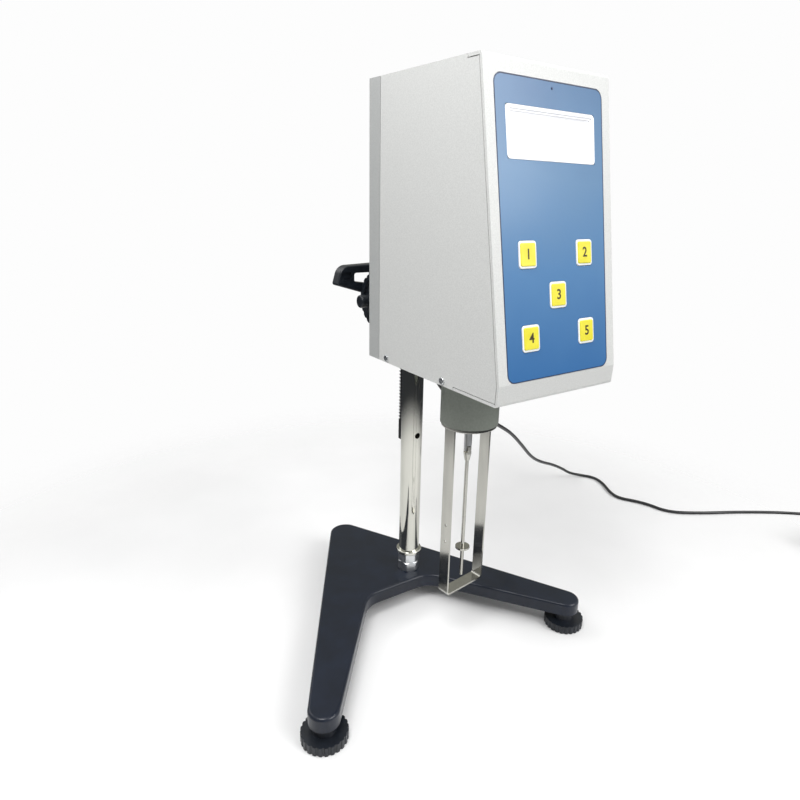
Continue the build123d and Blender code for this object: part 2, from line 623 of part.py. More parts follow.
# ---------------------------------------------------------------- lift block, pinion and clamp
def lift_block():
    body = block(-BLOCK_HALF_W, BLOCK_HALF_W, HEAD_BACK_Y, BLOCK_BACK_Y, BLOCK_BOTTOM, BLOCK_TOP)
    body = fillet(body.edges().filter_by(Axis.Z).sort_by(Axis.Y)[-2:], BLOCK_CORNER_R)
    body = chamfer(body.edges().group_by(Axis.Z)[0] + body.edges().group_by(Axis.Z)[-1], 1.0)
    body -= upright(COLUMN_R + FREE, BLOCK_BOTTOM - 1, BLOCK_TOP + 1)
    for z0 in (BLOCK_BOTTOM, BLOCK_TOP - BUSH_L):
        body -= upright(BUSH_R, z0 - (z0 == BLOCK_BOTTOM), z0 + BUSH_L + (z0 != BLOCK_BOTTOM))
    channel = RACK_WIDTH / 2 + FREE
    body -= block(-channel, channel, 0, RACK_TIP_Y + FREE, BLOCK_BOTTOM - 1, BLOCK_TOP + 1)
    cavity = PINION_W / 2 + FREE
    body -= along_x(PINION_R + MODULE + FREE, -cavity, cavity, PINION_Y, PINION_Z)
    body -= along_x(SHAFT_R + RUN, -BLOCK_HALF_W - 1, BLOCK_HALF_W + 1, PINION_Y, PINION_Z)
    body -= block(-SHOE_HALF_W, SHOE_HALF_W, 0, SHOE_BACK_Y, CLAMP_Z - SHOE_H / 2, CLAMP_Z + SHOE_H / 2)
    body -= along_y(CLAMP_SCREW_R + RUN, SHOE_BACK_Y - 1, BLOCK_BACK_Y + 1, 0, CLAMP_Z)
    for x in (-BLOCK_SCREW_X, BLOCK_SCREW_X):
        for z in BLOCK_SCREW_ZS:
            body -= along_y(BLOCK_SCREW_R, HEAD_BACK_Y - 1, HEAD_BACK_Y + BLOCK_SCREW_GRIP, x, z)
    return body


def column_bushes():
    bushes = []
    for z0 in (BLOCK_BOTTOM, BLOCK_TOP - BUSH_L):
        bush = upright(BUSH_R, z0, z0 + BUSH_L) - upright(COLUMN_R + RUN, z0 - 1, z0 + BUSH_L + 1)
        channel = RACK_WIDTH / 2 + FREE
        bushes.append(bush - block(-channel, channel, 0, BUSH_R + 1, z0 - 1, z0 + BUSH_L + 1))
    return bushes


def block_screws():
    screws = []
    inside = HEAD_BACK_Y - CHASSIS_WALL
    for x in (-BLOCK_SCREW_X, BLOCK_SCREW_X):
        for z in BLOCK_SCREW_ZS:
            face = inside - BLOCK_SCREW_HEAD_H
            head = along_y(BLOCK_SCREW_HEAD_R, face, inside, x, z) - hex_socket(BLOCK_SCREW_R, face, x, z)
            screws.append(head + along_y(BLOCK_SCREW_R, inside, HEAD_BACK_Y + BLOCK_SCREW_GRIP, x, z))
    return screws


def clamp_shoe():
    shoe = block(-SHOE_HALF_W, SHOE_HALF_W, 0, SHOE_BACK_Y, CLAMP_Z - SHOE_H / 2, CLAMP_Z + SHOE_H / 2)
    shoe -= upright(COLUMN_R + 2 * RUN, CLAMP_Z - SHOE_H, CLAMP_Z + SHOE_H)
    channel = RACK_WIDTH / 2 + FREE
    shoe -= block(-channel, channel, -1, RACK_TIP_Y + FREE, CLAMP_Z - SHOE_H, CLAMP_Z + SHOE_H)
    return shoe & block(-SHOE_HALF_W, SHOE_HALF_W, RACK_SEAT_Y - 2, SHOE_BACK_Y, BLOCK_BOTTOM, BLOCK_TOP)


def rack_pinion():
    """Pinion cut on its own shaft, with a tooth space facing the rack's middle tooth."""
    teeth = extrude(gear_face(MODULE, PINION_TEETH), PINION_W / 2, both=True)
    space_turn = 180 / PINION_TEETH
    gear = Pos(0, PINION_Y, PINION_Z) * Rot(0, 90, 0) * Rot(0, 0, -90 + space_turn) * teeth
    outer = BLOCK_HALF_W + KNOB_GAP + KNOB_W
    right = BLOCK_HALF_W + SHAFT_STOP_GAP
    shaft = along_x(SHAFT_R, -outer + KNOB_WEB, right, PINION_Y, PINION_Z)
    stop = along_x(SHAFT_STOP_R, right, right + SHAFT_STOP_L, PINION_Y, PINION_Z)
    return gear + shaft + fillet(stop.edges().group_by(Axis.X)[-1], SHAFT_STOP_L / 3)


def hand_knob():
    """Fluted knob with a dished outer face, and a boss that stands out of it."""
    inner = -BLOCK_HALF_W - KNOB_GAP
    outer = inner - KNOB_W
    profile = Circle(KNOB_R)
    for k in range(KNOB_FLUTES):
        profile -= Rot(0, 0, 360 * k / KNOB_FLUTES) * Pos(KNOB_R + KNOB_FLUTE_OUT, 0) * Circle(KNOB_FLUTE_R)
    knob = extrude(profile, KNOB_W)
    knob = Pos(outer, PINION_Y, PINION_Z) * Rot(0, 90, 0) * knob
    knob -= along_x(KNOB_R - KNOB_RIM, outer - 1, outer + KNOB_DISH, PINION_Y, PINION_Z)
    boss = along_x(KNOB_BOSS_R, outer - KNOB_BOSS_L, inner, PINION_Y, PINION_Z)
    knob += fillet(boss.edges().group_by(Axis.X)[0], KNOB_BOSS_R / 4)
    return knob - along_x(SHAFT_R, outer + KNOB_WEB, inner + 1, PINION_Y, PINION_Z)


def clamp_screw():
    screw = along_y(CLAMP_SCREW_R, SHOE_BACK_Y, LEVER_Y + LEVER_T - SCREW_SINK, 0, CLAMP_Z)
    return chamfer(screw.edges().group_by(Axis.Y)[0], 0.8)


def lever_handle():
    """Clamping lever: a flat loop, blunt and deep at its free end, with a window and a sunk panel."""
    rounds = [(LEVER_HUB_R, 0, 0), (LEVER_CORNER_R, LEVER_END_X + LEVER_CORNER_R, LEVER_CORNER_RISE),
              (LEVER_NOSE_R, LEVER_END_X, LEVER_NOSE_RISE), (LEVER_BELLY_R, LEVER_BELLY_X, LEVER_BELLY_RISE)]
    circles = ShapeList()
    for radius, x, rise in rounds:
        circles += (Pos(x, rise) * Circle(radius)).edges()
    window = make_face(Polyline(*LEVER_WINDOW, close=True))
    window = fillet(window.vertices(), LEVER_WINDOW_R)
    panel = Pos(*LEVER_PANEL_AT) * RectangleRounded(LEVER_PANEL_W, LEVER_PANEL_H, LEVER_WINDOW_R)
    grip = extrude(make_hull(circles), LEVER_T)
    grip = fillet(grip.edges().group_by(Axis.Z)[0] + grip.edges().group_by(Axis.Z)[-1], LEVER_EDGE_R)
    grip -= extrude(window, LEVER_T)
    grip -= Pos(0, 0, LEVER_T - LEVER_PANEL_DEPTH) * extrude(panel, LEVER_PANEL_DEPTH)
    grip = Pos(0, LEVER_Y + LEVER_T, CLAMP_Z) * Rot(90, 0, 0) * grip
    return grip - along_y(CLAMP_SCREW_R, LEVER_Y - 1, LEVER_Y + LEVER_T - SCREW_SINK, 0, CLAMP_Z)


# ---------------------------------------------------------------- head shells
def head_profile():
    """Side view of the head as (y, z), with its folds rounded."""
    corners = [(HEAD_BACK_Y, HEAD_BOTTOM), (HEAD_BACK_Y, HEAD_TOP), (FRONT_TOP_Y, HEAD_TOP),
               (CHIN_Y, CHIN_Z), (FRONT_BOTTOM_Y, HEAD_BOTTOM)]
    face = make_face(Polyline(*corners, close=True))
    folds = [v for v in face.vertices() if v.X < FRONT_TOP_Y + 1]
    return fillet(folds, FRONT_FOLD_R)


def across(profile, half_width):
    return extrude(Plane.YZ * profile, half_width, both=True)


def rear_chassis():
    body = block(-HEAD_HALF_W, HEAD_HALF_W, CHASSIS_FRONT_Y, HEAD_BACK_Y, HEAD_BOTTOM, HEAD_TOP)
    body = fillet(body.edges().group_by(Axis.Y)[-1], CHASSIS_EDGE_R)
    w = CHASSIS_WALL
    body -= block(-HEAD_HALF_W + w, HEAD_HALF_W - w, CHASSIS_FRONT_Y - 1, HEAD_BACK_Y - w,
                  HEAD_BOTTOM + w, HEAD_TOP - w)
    for x in (-BLOCK_SCREW_X, BLOCK_SCREW_X):
        for z in BLOCK_SCREW_ZS:
            body -= along_y(BLOCK_SCREW_R, HEAD_BACK_Y - w - 1, HEAD_BACK_Y + 1, x, z)
    body -= block(*SWITCH_CUT)
    return body


def cover_shell():
    """Left side, top and right side, folded from one sheet."""
    outer = head_profile()
    behind_front = offset(outer, -(SHEET + SEAM))
    side = make_face(Polyline((CHASSIS_FRONT_Y - SEAM, HEAD_BOTTOM), (CHASSIS_FRONT_Y - SEAM, HEAD_TOP),
                              (NOSE_Y, HEAD_TOP), (NOSE_Y, HEAD_BOTTOM), close=True))
    lip_end = FRONT_TOP_Y + FRONT_LIP + SEAM
    front_strip = make_face(Polyline((lip_end, HEAD_BOTTOM - 1), (lip_end, HEAD_TOP + 1),
                                     (NOSE_Y, HEAD_TOP + 1), (NOSE_Y, HEAD_BOTTOM - 1), close=True))
    sides = (outer & side) - (front_strip - behind_front)
    top_only = make_face(Polyline((CHASSIS_FRONT_Y, HEAD_BOTTOM - 1), (CHASSIS_FRONT_Y, HEAD_TOP - SHEET),
                                  (NOSE_Y, HEAD_TOP - SHEET), (NOSE_Y, HEAD_BOTTOM - 1), close=True))
    shell = across(sides, HEAD_HALF_W) - across(top_only, HEAD_HALF_W - SHEET)
    for y, z in SIDE_SCREWS:
        shell -= along_x(SIDE_SCREW_R / 2, -HEAD_HALF_W - 1, HEAD_HALF_W + 1, y, z)
    return shell


def key_hole():
    return RectangleRounded(KEY_W + 2 * KEY_GAP, KEY_H + 2 * KEY_GAP, KEY_CORNER_R)


def front_plate():
    """Folded front: top lip, sloping face, chin and bottom lip, with studs for the boards."""
    outer = head_profile()
    strip = outer - offset(outer, -SHEET)
    lip_end = FRONT_TOP_Y + FRONT_LIP
    keep = make_face(Polyline((lip_end, HEAD_BOTTOM - 1), (lip_end, HEAD_TOP + 1), (NOSE_Y, HEAD_TOP + 1),
                              (NOSE_Y, HEAD_BOTTOM - 1), close=True))
    plate = across(strip & keep, HEAD_HALF_W)
    recess = RectangleRounded(2 * (PANEL_HALF_W + FIT_GAP), PANEL_S1 - PANEL_S0 + 2 * FIT_GAP,
                              PANEL_CORNER_R + FIT_GAP)
    plate -= on_front(0, PANEL_MIDDLE, PANEL_T) * extrude(recess, SHEET)
    window = RectangleRounded(2 * (LCD_HALF_W + LCD_REVEAL), LCD_H + 2 * LCD_REVEAL, LCD_CORNER_R)
    plate -= on_front(0, LCD_MIDDLE, 2 * SHEET) * extrude(window, 3 * SHEET)
    for x, s in KEYS:
        plate -= on_front(x, s, 2 * SHEET) * extrude(key_hole(), 3 * SHEET)
    for x in (-BOARD_STUD_X, BOARD_STUD_X):
        for s in (KEY_ROWS[0], KEY_ROWS[-1]):
            plate += on_front(x, s, BOARD_DEPTH) * extrude(Circle(BOARD_STUD_R), BOARD_DEPTH - SHEET)
    return plate


def bottom_plate():
    half = HEAD_HALF_W - SHEET
    front = FRONT_TOP_Y + FRONT_LIP + SEAM
    plate = block(-half, half, front, CHASSIS_FRONT_Y - SEAM, HEAD_BOTTOM, HEAD_BOTTOM + SHEET)
    for side in (-1, 1):
        x = side * (half - SHEET / 2)
        plate += block(x - SHEET / 2, x + SHEET / 2, front, CHASSIS_FRONT_Y - SEAM, HEAD_BOTTOM,
                       HEAD_BOTTOM + FLANGE_UP)
    for y, z in SIDE_SCREWS:
        plate -= along_x(SIDE_SCREW_R / 2, -HEAD_HALF_W, HEAD_HALF_W, y, z)
    plate -= upright(COLLAR_NECK_R, HEAD_BOTTOM - 1, HEAD_BOTTOM + SHEET + 1, (0, SPINDLE_Y))
    plate -= upright(JACK_R, HEAD_BOTTOM - 1, HEAD_BOTTOM + SHEET + 1, JACK_AT)
    return plate


def side_screws():
    """Pan-head screws with a cross recess."""
    screws = []
    slot = SIDE_SLOT_L / 2
    wide = SIDE_SLOT_W / 2
    for side in (-1, 1):
        for y, z in SIDE_SCREWS:
            outer = side * HEAD_HALF_W
            head = along_x(SIDE_SCREW_R, 0, SIDE_SCREW_HEAD_H, 0, 0)
            head = fillet(head.edges().group_by(Axis.X)[-1], SIDE_SCREW_HEAD_H * 0.45)
            for a, b in ((slot, wide), (wide, slot)):
                head -= block(SIDE_SCREW_HEAD_H * 0.55, SIDE_SCREW_HEAD_H + 1, -a, a, -b, b)
            head += along_x(SIDE_SCREW_R / 2, -SIDE_SCREW_GRIP, 0, 0, 0)
            turn = Rot(0, 0, 180) if side < 0 else Rot(0, 0, 0)
            screws.append(Pos(outer, y, z) * turn * head)
    return screws


def switch_housing():
    x0, x1, y0, y1, z0, z1 = SWITCH_CUT
    w = SWITCH_WALL
    body = block(x0, x1, HEAD_BACK_Y - SWITCH_DEPTH, HEAD_BACK_Y, z0, z1)
    flange = block(x0 - w, x1 + w, HEAD_BACK_Y, HEAD_BACK_Y + SWITCH_FLANGE, z0 - w, z1 + w)
    body += fillet(flange.edges().group_by(Axis.Y)[-1], w / 2)
    body -= block(x0 + w, x1 - w, HEAD_BACK_Y - SWITCH_DEPTH / 2, HEAD_BACK_Y + SWITCH_FLANGE + 1,
                  z0 + w, z1 - w)
    return body - along_x(SWITCH_PIVOT_R + RUN, x0 - 1, x1 + 1, SWITCH_PIVOT_Y, SWITCH_Z)


def switch_rocker():
    """Rocker with two faces that meet over its pivot, drawn level."""
    wide = SWITCH_HALF_W - SWITCH_WALL - ROCKER_SIDE_GAP
    dip = ROCKER_RISE - ROCKER_HALF_H * tan(radians(SWITCH_THROW))
    back = -2.6 * SWITCH_PIVOT_R
    side = Polyline((back, -ROCKER_RISE), (dip, -ROCKER_HALF_H), (ROCKER_RISE, 0), (dip, ROCKER_HALF_H),
                    (back, ROCKER_RISE), close=True)
    rocker = extrude(Plane.YZ * make_face(side), wide, both=True)
    rocker += along_x(SWITCH_PIVOT_R, -wide - SWITCH_WALL, wide + SWITCH_WALL, 0, 0)
    return Pos(SWITCH_X, SWITCH_PIVOT_Y, SWITCH_Z) * rocker


# ---------------------------------------------------------------- front panel
def membrane_panel():
    sheet = RectangleRounded(2 * PANEL_HALF_W, PANEL_S1 - PANEL_S0, PANEL_CORNER_R)
    panel = on_front(0, PANEL_MIDDLE, PANEL_T) * extrude(sheet, PANEL_T)
    panel -= on_front(0, LCD_MIDDLE, 2 * PANEL_T) * extrude(
        RectangleRounded(2 * LCD_HALF_W, LCD_H, LCD_CORNER_R), 3 * PANEL_T)
    for x, s in KEYS:
        panel -= on_front(x, s, 2 * PANEL_T) * extrude(key_hole(), 3 * PANEL_T)
    return panel


def lcd_window():
    gap = LCD_PANE_GAP
    sheet = RectangleRounded(2 * (LCD_HALF_W - gap), LCD_H - 2 * gap, LCD_CORNER_R - gap)
    return on_front(0, LCD_MIDDLE, LCD_GLASS_DEPTH) * extrude(sheet, LCD_GLASS_DEPTH - 2 * gap)


def lcd_module():
    """Display on its own board, in a metal frame."""
    solid = Part()
    depth = LCD_GLASS_DEPTH
    layers = ((LCD_GLASS_T, -5 * LCD_PANE_GAP), (LCD_FRAME_T, LCD_FRAME_EDGE), (BOARD_T, LCD_BOARD_EDGE))
    for thick, edge in layers:
        depth += thick
        layer = Rectangle(2 * (LCD_HALF_W + edge), LCD_H + 2 * edge)
        solid += on_front(0, LCD_MIDDLE, depth) * extrude(layer, thick)
    return solid


def control_board():
    middle = (BOARD_S0 + BOARD_S1) / 2
    board = on_front(0, middle, BOARD_DEPTH + BOARD_T) * extrude(
        Rectangle(2 * BOARD_HALF_W, BOARD_S1 - BOARD_S0), BOARD_T)
    switch_top = BOARD_DEPTH - KEY_STEM_DEPTH - KEY_TRAVEL - KEY_SWITCH_GAP
    for x, s in KEYS:
        board += on_front(x, s, BOARD_DEPTH) * extrude(Rectangle(KEY_SWITCH, KEY_SWITCH), switch_top)
    for x, up, w, h in CHIPS:
        board += on_front(x, BOARD_S1 + up, BOARD_DEPTH + BOARD_T + CHIP_H) * extrude(Rectangle(w, h), CHIP_H)
    return board


def key(x, s):
    """Push pad with a flange behind the front plate and a stem over its switch."""
    back = SHEET + KEY_BACK
    cap = extrude(RectangleRounded(KEY_W, KEY_H, KEY_CORNER_R - KEY_GAP), back + KEY_PROUD)
    cap = fillet(cap.edges().group_by(Axis.Z)[-1], KEY_EDGE_R)
    rest = RectangleRounded(KEY_W + 2 * KEY_FLANGE_EDGE, KEY_H + 2 * KEY_FLANGE_EDGE, KEY_CORNER_R)
    flange = Pos(0, 0, -KEY_FLANGE) * extrude(rest, KEY_FLANGE)
    stem = Pos(0, 0, back - KEY_STEM_DEPTH) * extrude(Circle(KEY_STEM_R), KEY_STEM_DEPTH - back)
    return on_front(x, s, back) * (cap + flange + stem)


def bubble_level():
    """Round level in its cup on the head's top."""
    at = (0, LEVEL_Y)
    floor = HEAD_TOP + LEVEL_FLOOR
    cup = upright(LEVEL_R, HEAD_TOP, HEAD_TOP + LEVEL_H, at)
    cup = fillet(cup.edges().group_by(Axis.Z)[-1], LEVEL_R / 12)
    cup -= upright(VIAL_R, floor, HEAD_TOP + LEVEL_H + 1, at)
    return [cup, upright(VIAL_R - RUN, floor, floor + VIAL_H, at)]


# ---------------------------------------------------------------- drive in the head
def gear_bracket():
    """Channel of folded sheet on the bottom plate, clear of the jack, that holds motor and bearings."""
    foot = HEAD_BOTTOM + SHEET
    y0 = SPINDLE_Y - BRACKET_FRONT
    y1 = MOTOR_Y + MOTOR_R + BRACKET_BACK
    w = BRACKET_HALF_W
    shell = block(-w, w, y0, y1, foot, BRACKET_TOP) - block(-w + BRACKET_T, w - BRACKET_T, y0 - 1, y1 + 1,
                                                            foot - 1, BRACKET_TOP - BRACKET_T)
    for side in (-1, 1):
        x0, x1 = sorted((side * (w - BRACKET_T / 2), side * (w - BRACKET_T / 2 + BRACKET_EAR)))
        shell += block(x0, x1, y0, SPINDLE_Y + BEARING_R, foot, foot + BRACKET_T)
    shell -= upright(JACK_FLANGE_R + FREE, foot - 1, HEAD_BOTTOM + JACK_H + FREE, JACK_AT)
    shell += upright(BEARING_R + BEARING_WALL, BEARING_Z0 - 1, BEARING_Z1 + 1, (0, SPINDLE_Y))
    shell -= upright(BEARING_R, BEARING_Z0, BEARING_Z1, (0, SPINDLE_Y))
    shell -= upright(QUILL_R + FREE, BEARING_Z0 - 2, BEARING_Z1 + 2, (0, SPINDLE_Y))
    pinion_room = MOTOR_PINION_TEETH * GEAR_MODULE / 2 + FREE / 2
    return shell - upright(pinion_room, BRACKET_TOP - BRACKET_T - 1, BRACKET_TOP + 1, (0, MOTOR_Y))


def shaft_bearings():
    rings = []
    for z0 in (BEARING_Z0, BEARING_Z1 - BEARING_H):
        ring = upright(BEARING_R, z0, z0 + BEARING_H, (0, SPINDLE_Y))
        rings.append(ring - upright(QUILL_R + RUN, z0 - 1, z0 + BEARING_H + 1, (0, SPINDLE_Y)))
    return rings


def motor():
    z0 = BRACKET_TOP
    can = upright(MOTOR_R, z0, z0 + MOTOR_H, (0, MOTOR_Y))
    can = fillet(can.edges().group_by(Axis.Z)[-1], MOTOR_SHAFT_R)
    boss = BEARING_R + BEARING_WALL + FREE
    can -= upright(boss, z0 - 1, CUP_Z0, (0, SPINDLE_Y))
    can -= upright(CUP_R + FREE, CUP_Z0 - FREE, z0 + MOTOR_H + 1, (0, SPINDLE_Y))
    return can - upright(MOTOR_SHAFT_R + RUN, z0 - 1, z0 + MOTOR_SHAFT_GRIP + 1, (0, MOTOR_Y))


def motor_pinion():
    """Motor shaft with its pinion, in mesh with the drive gear."""
    teeth = extrude(gear_face(GEAR_MODULE, MOTOR_PINION_TEETH, dedendum=1.25), GEAR_W + 2 * PINION_OVER)
    pinion = Pos(0, MOTOR_Y, GEAR_Z - PINION_OVER) * Rot(0, 0, 90) * teeth
    return pinion + upright(MOTOR_SHAFT_R, GEAR_Z, BRACKET_TOP + MOTOR_SHAFT_GRIP, (0, MOTOR_Y))


def drive_gear():
    """Wheel with a tooth space towards the motor, where the pinion has a tooth."""
    wheel = extrude(gear_face(GEAR_MODULE, GEAR_TEETH, dedendum=1.25, steps=3), GEAR_W)
    for k in range(WHEEL_HOLES):
        turn = Rot(0, 0, 360 * (k + 0.5) / WHEEL_HOLES)
        wheel -= turn * Pos(WHEEL_HOLES_AT, 0, GEAR_W / 2) * Cylinder(WHEEL_HOLE_R, GEAR_W + 2)
    wheel = Pos(0, SPINDLE_Y, GEAR_Z) * Rot(0, 0, 90 + 180 / GEAR_TEETH) * wheel
    return wheel - upright(QUILL_R, GEAR_Z - 1, GEAR_Z + GEAR_W + 1, (0, SPINDLE_Y))


def slotted_disc(z):
    """Disc with one slot in its edge, which the light gates read."""
    edge = SPINDLE_Y - DISC_R
    half = DISC_SLOT_W / 2
    disc = upright(DISC_R, z, z + DISC_T, (0, SPINDLE_Y))
    return disc - block(-half, half, edge - 1, edge + DISC_SLOT_L, z - 1, z + DISC_T + 1)


def drive_shaft():
    """Hollow shaft with a slotted disc below and the spring's cup on top."""
    quill = upright(QUILL_R, QUILL_BOTTOM, CUP_Z0, (0, SPINDLE_Y))
    hollow = upright(CUP_R - CUP_WALL, CUP_Z0 + CUP_FLOOR, CUP_Z1 + 1, (0, SPINDLE_Y))
    quill += upright(CUP_R, CUP_Z0, CUP_Z1, (0, SPINDLE_Y)) - hollow
    quill += slotted_disc(UPPER_DISC_Z)
    quill -= upright(QUILL_BORE_R, QUILL_BOTTOM - 1, CUP_Z1 + 1, (0, SPINDLE_Y))
    land = upright(QUILL_BORE_R, QUILL_BOTTOM, QUILL_BOTTOM + QUILL_LAND, (0, SPINDLE_Y))
    land += upright(QUILL_BORE_R, CUP_Z0 - QUILL_LAND, CUP_Z0, (0, SPINDLE_Y))
    return quill + (land - upright(MEASURING_SHAFT_R + RUN, QUILL_BOTTOM - 1, CUP_Z1, (0, SPINDLE_Y)))


def measuring_shaft():
    """Shaft from the spring down through the collar, ending in the upper fork of the joint."""
    at = (0, SPINDLE_Y)
    around = SOCKET_R + 1
    shaft = upright(MEASURING_SHAFT_R, GUARD_RING_BOTTOM, CUP_Z1 - 1, at)
    shaft += upright(SPRING_HUB_R, CUP_Z0 + CUP_FLOOR + FREE, CUP_Z1 - 2, at)
    socket = upright(SOCKET_R, JOINT_Z + FORK_NECK, GUARD_RING_BOTTOM, at)
    shaft += chamfer(socket.edges().group_by(Axis.Z)[-1], 0.6)
    ears = upright(SOCKET_R, JOINT_Z - FORK_END, JOINT_Z + FORK_NECK, at)
    ears &= block(-SOCKET_R, SOCKET_R, SPINDLE_Y - FORK_EAR_HALF, SPINDLE_Y + FORK_EAR_HALF, 0, HEAD_TOP)
    ears -= block(-FORK_SLOT_HALF, FORK_SLOT_HALF, SPINDLE_Y - around, SPINDLE_Y + around, 0,
                  JOINT_Z + FORK_NECK)
    shaft += ears
    return shaft - along_x(CROSS_PIN_R + RUN, -around, around, SPINDLE_Y, JOINT_Z)


def lower_disc():
    at = (0, SPINDLE_Y)
    top = LOWER_DISC_Z + DISC_HUB_R
    disc = slotted_disc(LOWER_DISC_Z) + upright(DISC_HUB_R, LOWER_DISC_Z, top, at)
    return disc - upright(MEASURING_SHAFT_R, LOWER_DISC_Z - 1, top + 1, at)


def torsion_spring():
    """Flat spiral of half turns between the measuring shaft's hub and the cup's wall."""
    spring = Sketch()
    radius = SPRING_HUB_R + SPRING_T / 2 + RUN * 3
    centre = 0.0
    side = -1
    while centre + radius + SPRING_T < CUP_R - CUP_WALL - SPRING_GAP:
        ring = Circle(radius + SPRING_T / 2) - Circle(radius - SPRING_T / 2)
        half = Pos(0, -side * CUP_R) * Rectangle(4 * CUP_R, 2 * CUP_R)
        spring += Pos(centre, 0) * (ring & half)
        end_x = centre + side * radius
        radius += SPRING_STEP / 2
        centre = end_x - side * radius
        side = -side
    return Pos(0, SPINDLE_Y, SPRING_Z) * extrude(spring, SPRING_H)


def optical_gates():
    gates = []
    floor = HEAD_BOTTOM + SHEET
    y0 = SPINDLE_Y - GATE_HALF_W
    y1 = SPINDLE_Y + GATE_HALF_W
    for side, z in ((1, UPPER_DISC_Z), (-1, LOWER_DISC_Z)):
        x0, x1 = sorted((side * (DISC_R - GATE_REACH), side * (DISC_R + GATE_REACH)))
        gate = block(x0, x1, y0, y1, z - GATE_EDGE, z + DISC_T + GATE_EDGE)
        slot = sorted((side * (DISC_R - GATE_REACH - 1), side * (DISC_R + GATE_REACH - GATE_EDGE - 1)))
        gate -= block(slot[0], slot[1], y0 - 1, y1 + 1, z - DISC_T, z + 2 * DISC_T)
        post = sorted((side * (DISC_R + GATE_REACH - GATE_EDGE), side * (DISC_R + GATE_REACH)))
        gates.append(gate + block(post[0], post[1], y0, y1, floor, z))
    return gates


def dc_jack():
    """Panel jack with a well for the plug's body and a bore for its barrel."""
    z = HEAD_BOTTOM
    jack = upright(JACK_R, z, z + JACK_H, JACK_AT) + upright(JACK_FLANGE_R, z + SHEET, z + JACK_H, JACK_AT)
    jack -= upright(JACK_WELL_R, z - 1, z + JACK_WELL, JACK_AT)
    return jack - upright(JACK_PIN_R, z, z + JACK_WELL + JACK_PIN_DEPTH, JACK_AT)


# ---------------------------------------------------------------- collar, guard and spindle
def collar():
    at = (0, SPINDLE_Y)
    neck_top = HEAD_BOTTOM + SHEET + COLLAR_NECK_H
    body = upright(COLLAR_R, COLLAR_BOTTOM, HEAD_BOTTOM, at)
    body += upright(COLLAR_NECK_R, HEAD_BOTTOM, neck_top, at)
    body -= upright(COLLAR_BORE_R, COLLAR_BOTTOM - 1, HEAD_BOTTOM - COLLAR_TOP_T, at)
    body -= upright(GUARD_SPIGOT_R + RUN, COLLAR_BOTTOM - 1, COLLAR_BOTTOM + GUARD_SPIGOT_H + FREE, at)
    return body - upright(SHAFT_HOLE_R, HEAD_BOTTOM - COLLAR_TOP_T - 1, neck_top + 1, at)


def guard_ring():
    at = (0, SPINDLE_Y)
    top = COLLAR_BOTTOM + GUARD_SPIGOT_H
    ring = upright(GUARD_RING_R, GUARD_RING_BOTTOM, COLLAR_BOTTOM - SEAM, at)
    ring = fillet(ring.edges().group_by(Axis.Z)[0], GUARD_RING_EDGE_R)
    ring += upright(GUARD_SPIGOT_R, COLLAR_BOTTOM - SEAM, top, at)
    ring -= upright(GUARD_SPIGOT_R - GUARD_SPIGOT_WALL, GUARD_RING_BOTTOM - 1, top + 1, at)
    slots = Pos(0, SPINDLE_Y, 0) * Rot(0, 0, GUARD_TURN) * guard_legs(GUARD_RING_BOTTOM - 1)
    return ring - slots


def guard_legs(z0):
    legs = Part()
    for side in (-1, 1):
        x0, x1 = sorted((side * GUARD_HALF_W, side * (GUARD_HALF_W - GUARD_STRIP_T)))
        legs += block(x0, x1, -GUARD_STRIP_W / 2, GUARD_STRIP_W / 2, z0, GUARD_RING_BOTTOM + GUARD_SEAT)
    return legs


def guard_strip():
    """One strip bent to a U, with two holes in its left leg."""
    half_h = GUARD_BEND_H
    outer = RectangleRounded(2 * GUARD_HALF_W, 2 * half_h, GUARD_CORNER_R)
    inner = RectangleRounded(2 * (GUARD_HALF_W - GUARD_STRIP_T), 2 * (half_h - GUARD_STRIP_T),
                             GUARD_CORNER_R - GUARD_STRIP_T)
    low = (outer - inner) & Pos(0, -half_h) * Rectangle(4 * GUARD_HALF_W, 2 * half_h)
    bend = Pos(0, GUARD_STRIP_W / 2, GUARD_BOTTOM + half_h) * Rot(90, 0, 0) * extrude(low, GUARD_STRIP_W)
    strip = bend + guard_legs(GUARD_BOTTOM + half_h)
    for up in GUARD_HOLES:
        strip -= along_x(GUARD_HOLE_R, -GUARD_HALF_W - 1, 0, 0, GUARD_BOTTOM + up)
    return Pos(0, SPINDLE_Y, 0) * Rot(0, 0, GUARD_TURN) * strip


def joint_cross():
    half = CROSS_HALF
    reach = SOCKET_R - PIN_SHORT
    cross = block(-half, half, SPINDLE_Y - half, SPINDLE_Y + half, JOINT_Z - CROSS_HALF_H,
                  JOINT_Z + CROSS_HALF_H)
    cross += along_x(CROSS_PIN_R, -reach, reach, SPINDLE_Y, JOINT_Z)
    return cross + along_y(CROSS_PIN_R, SPINDLE_Y - reach, SPINDLE_Y + reach, 0, JOINT_Z)


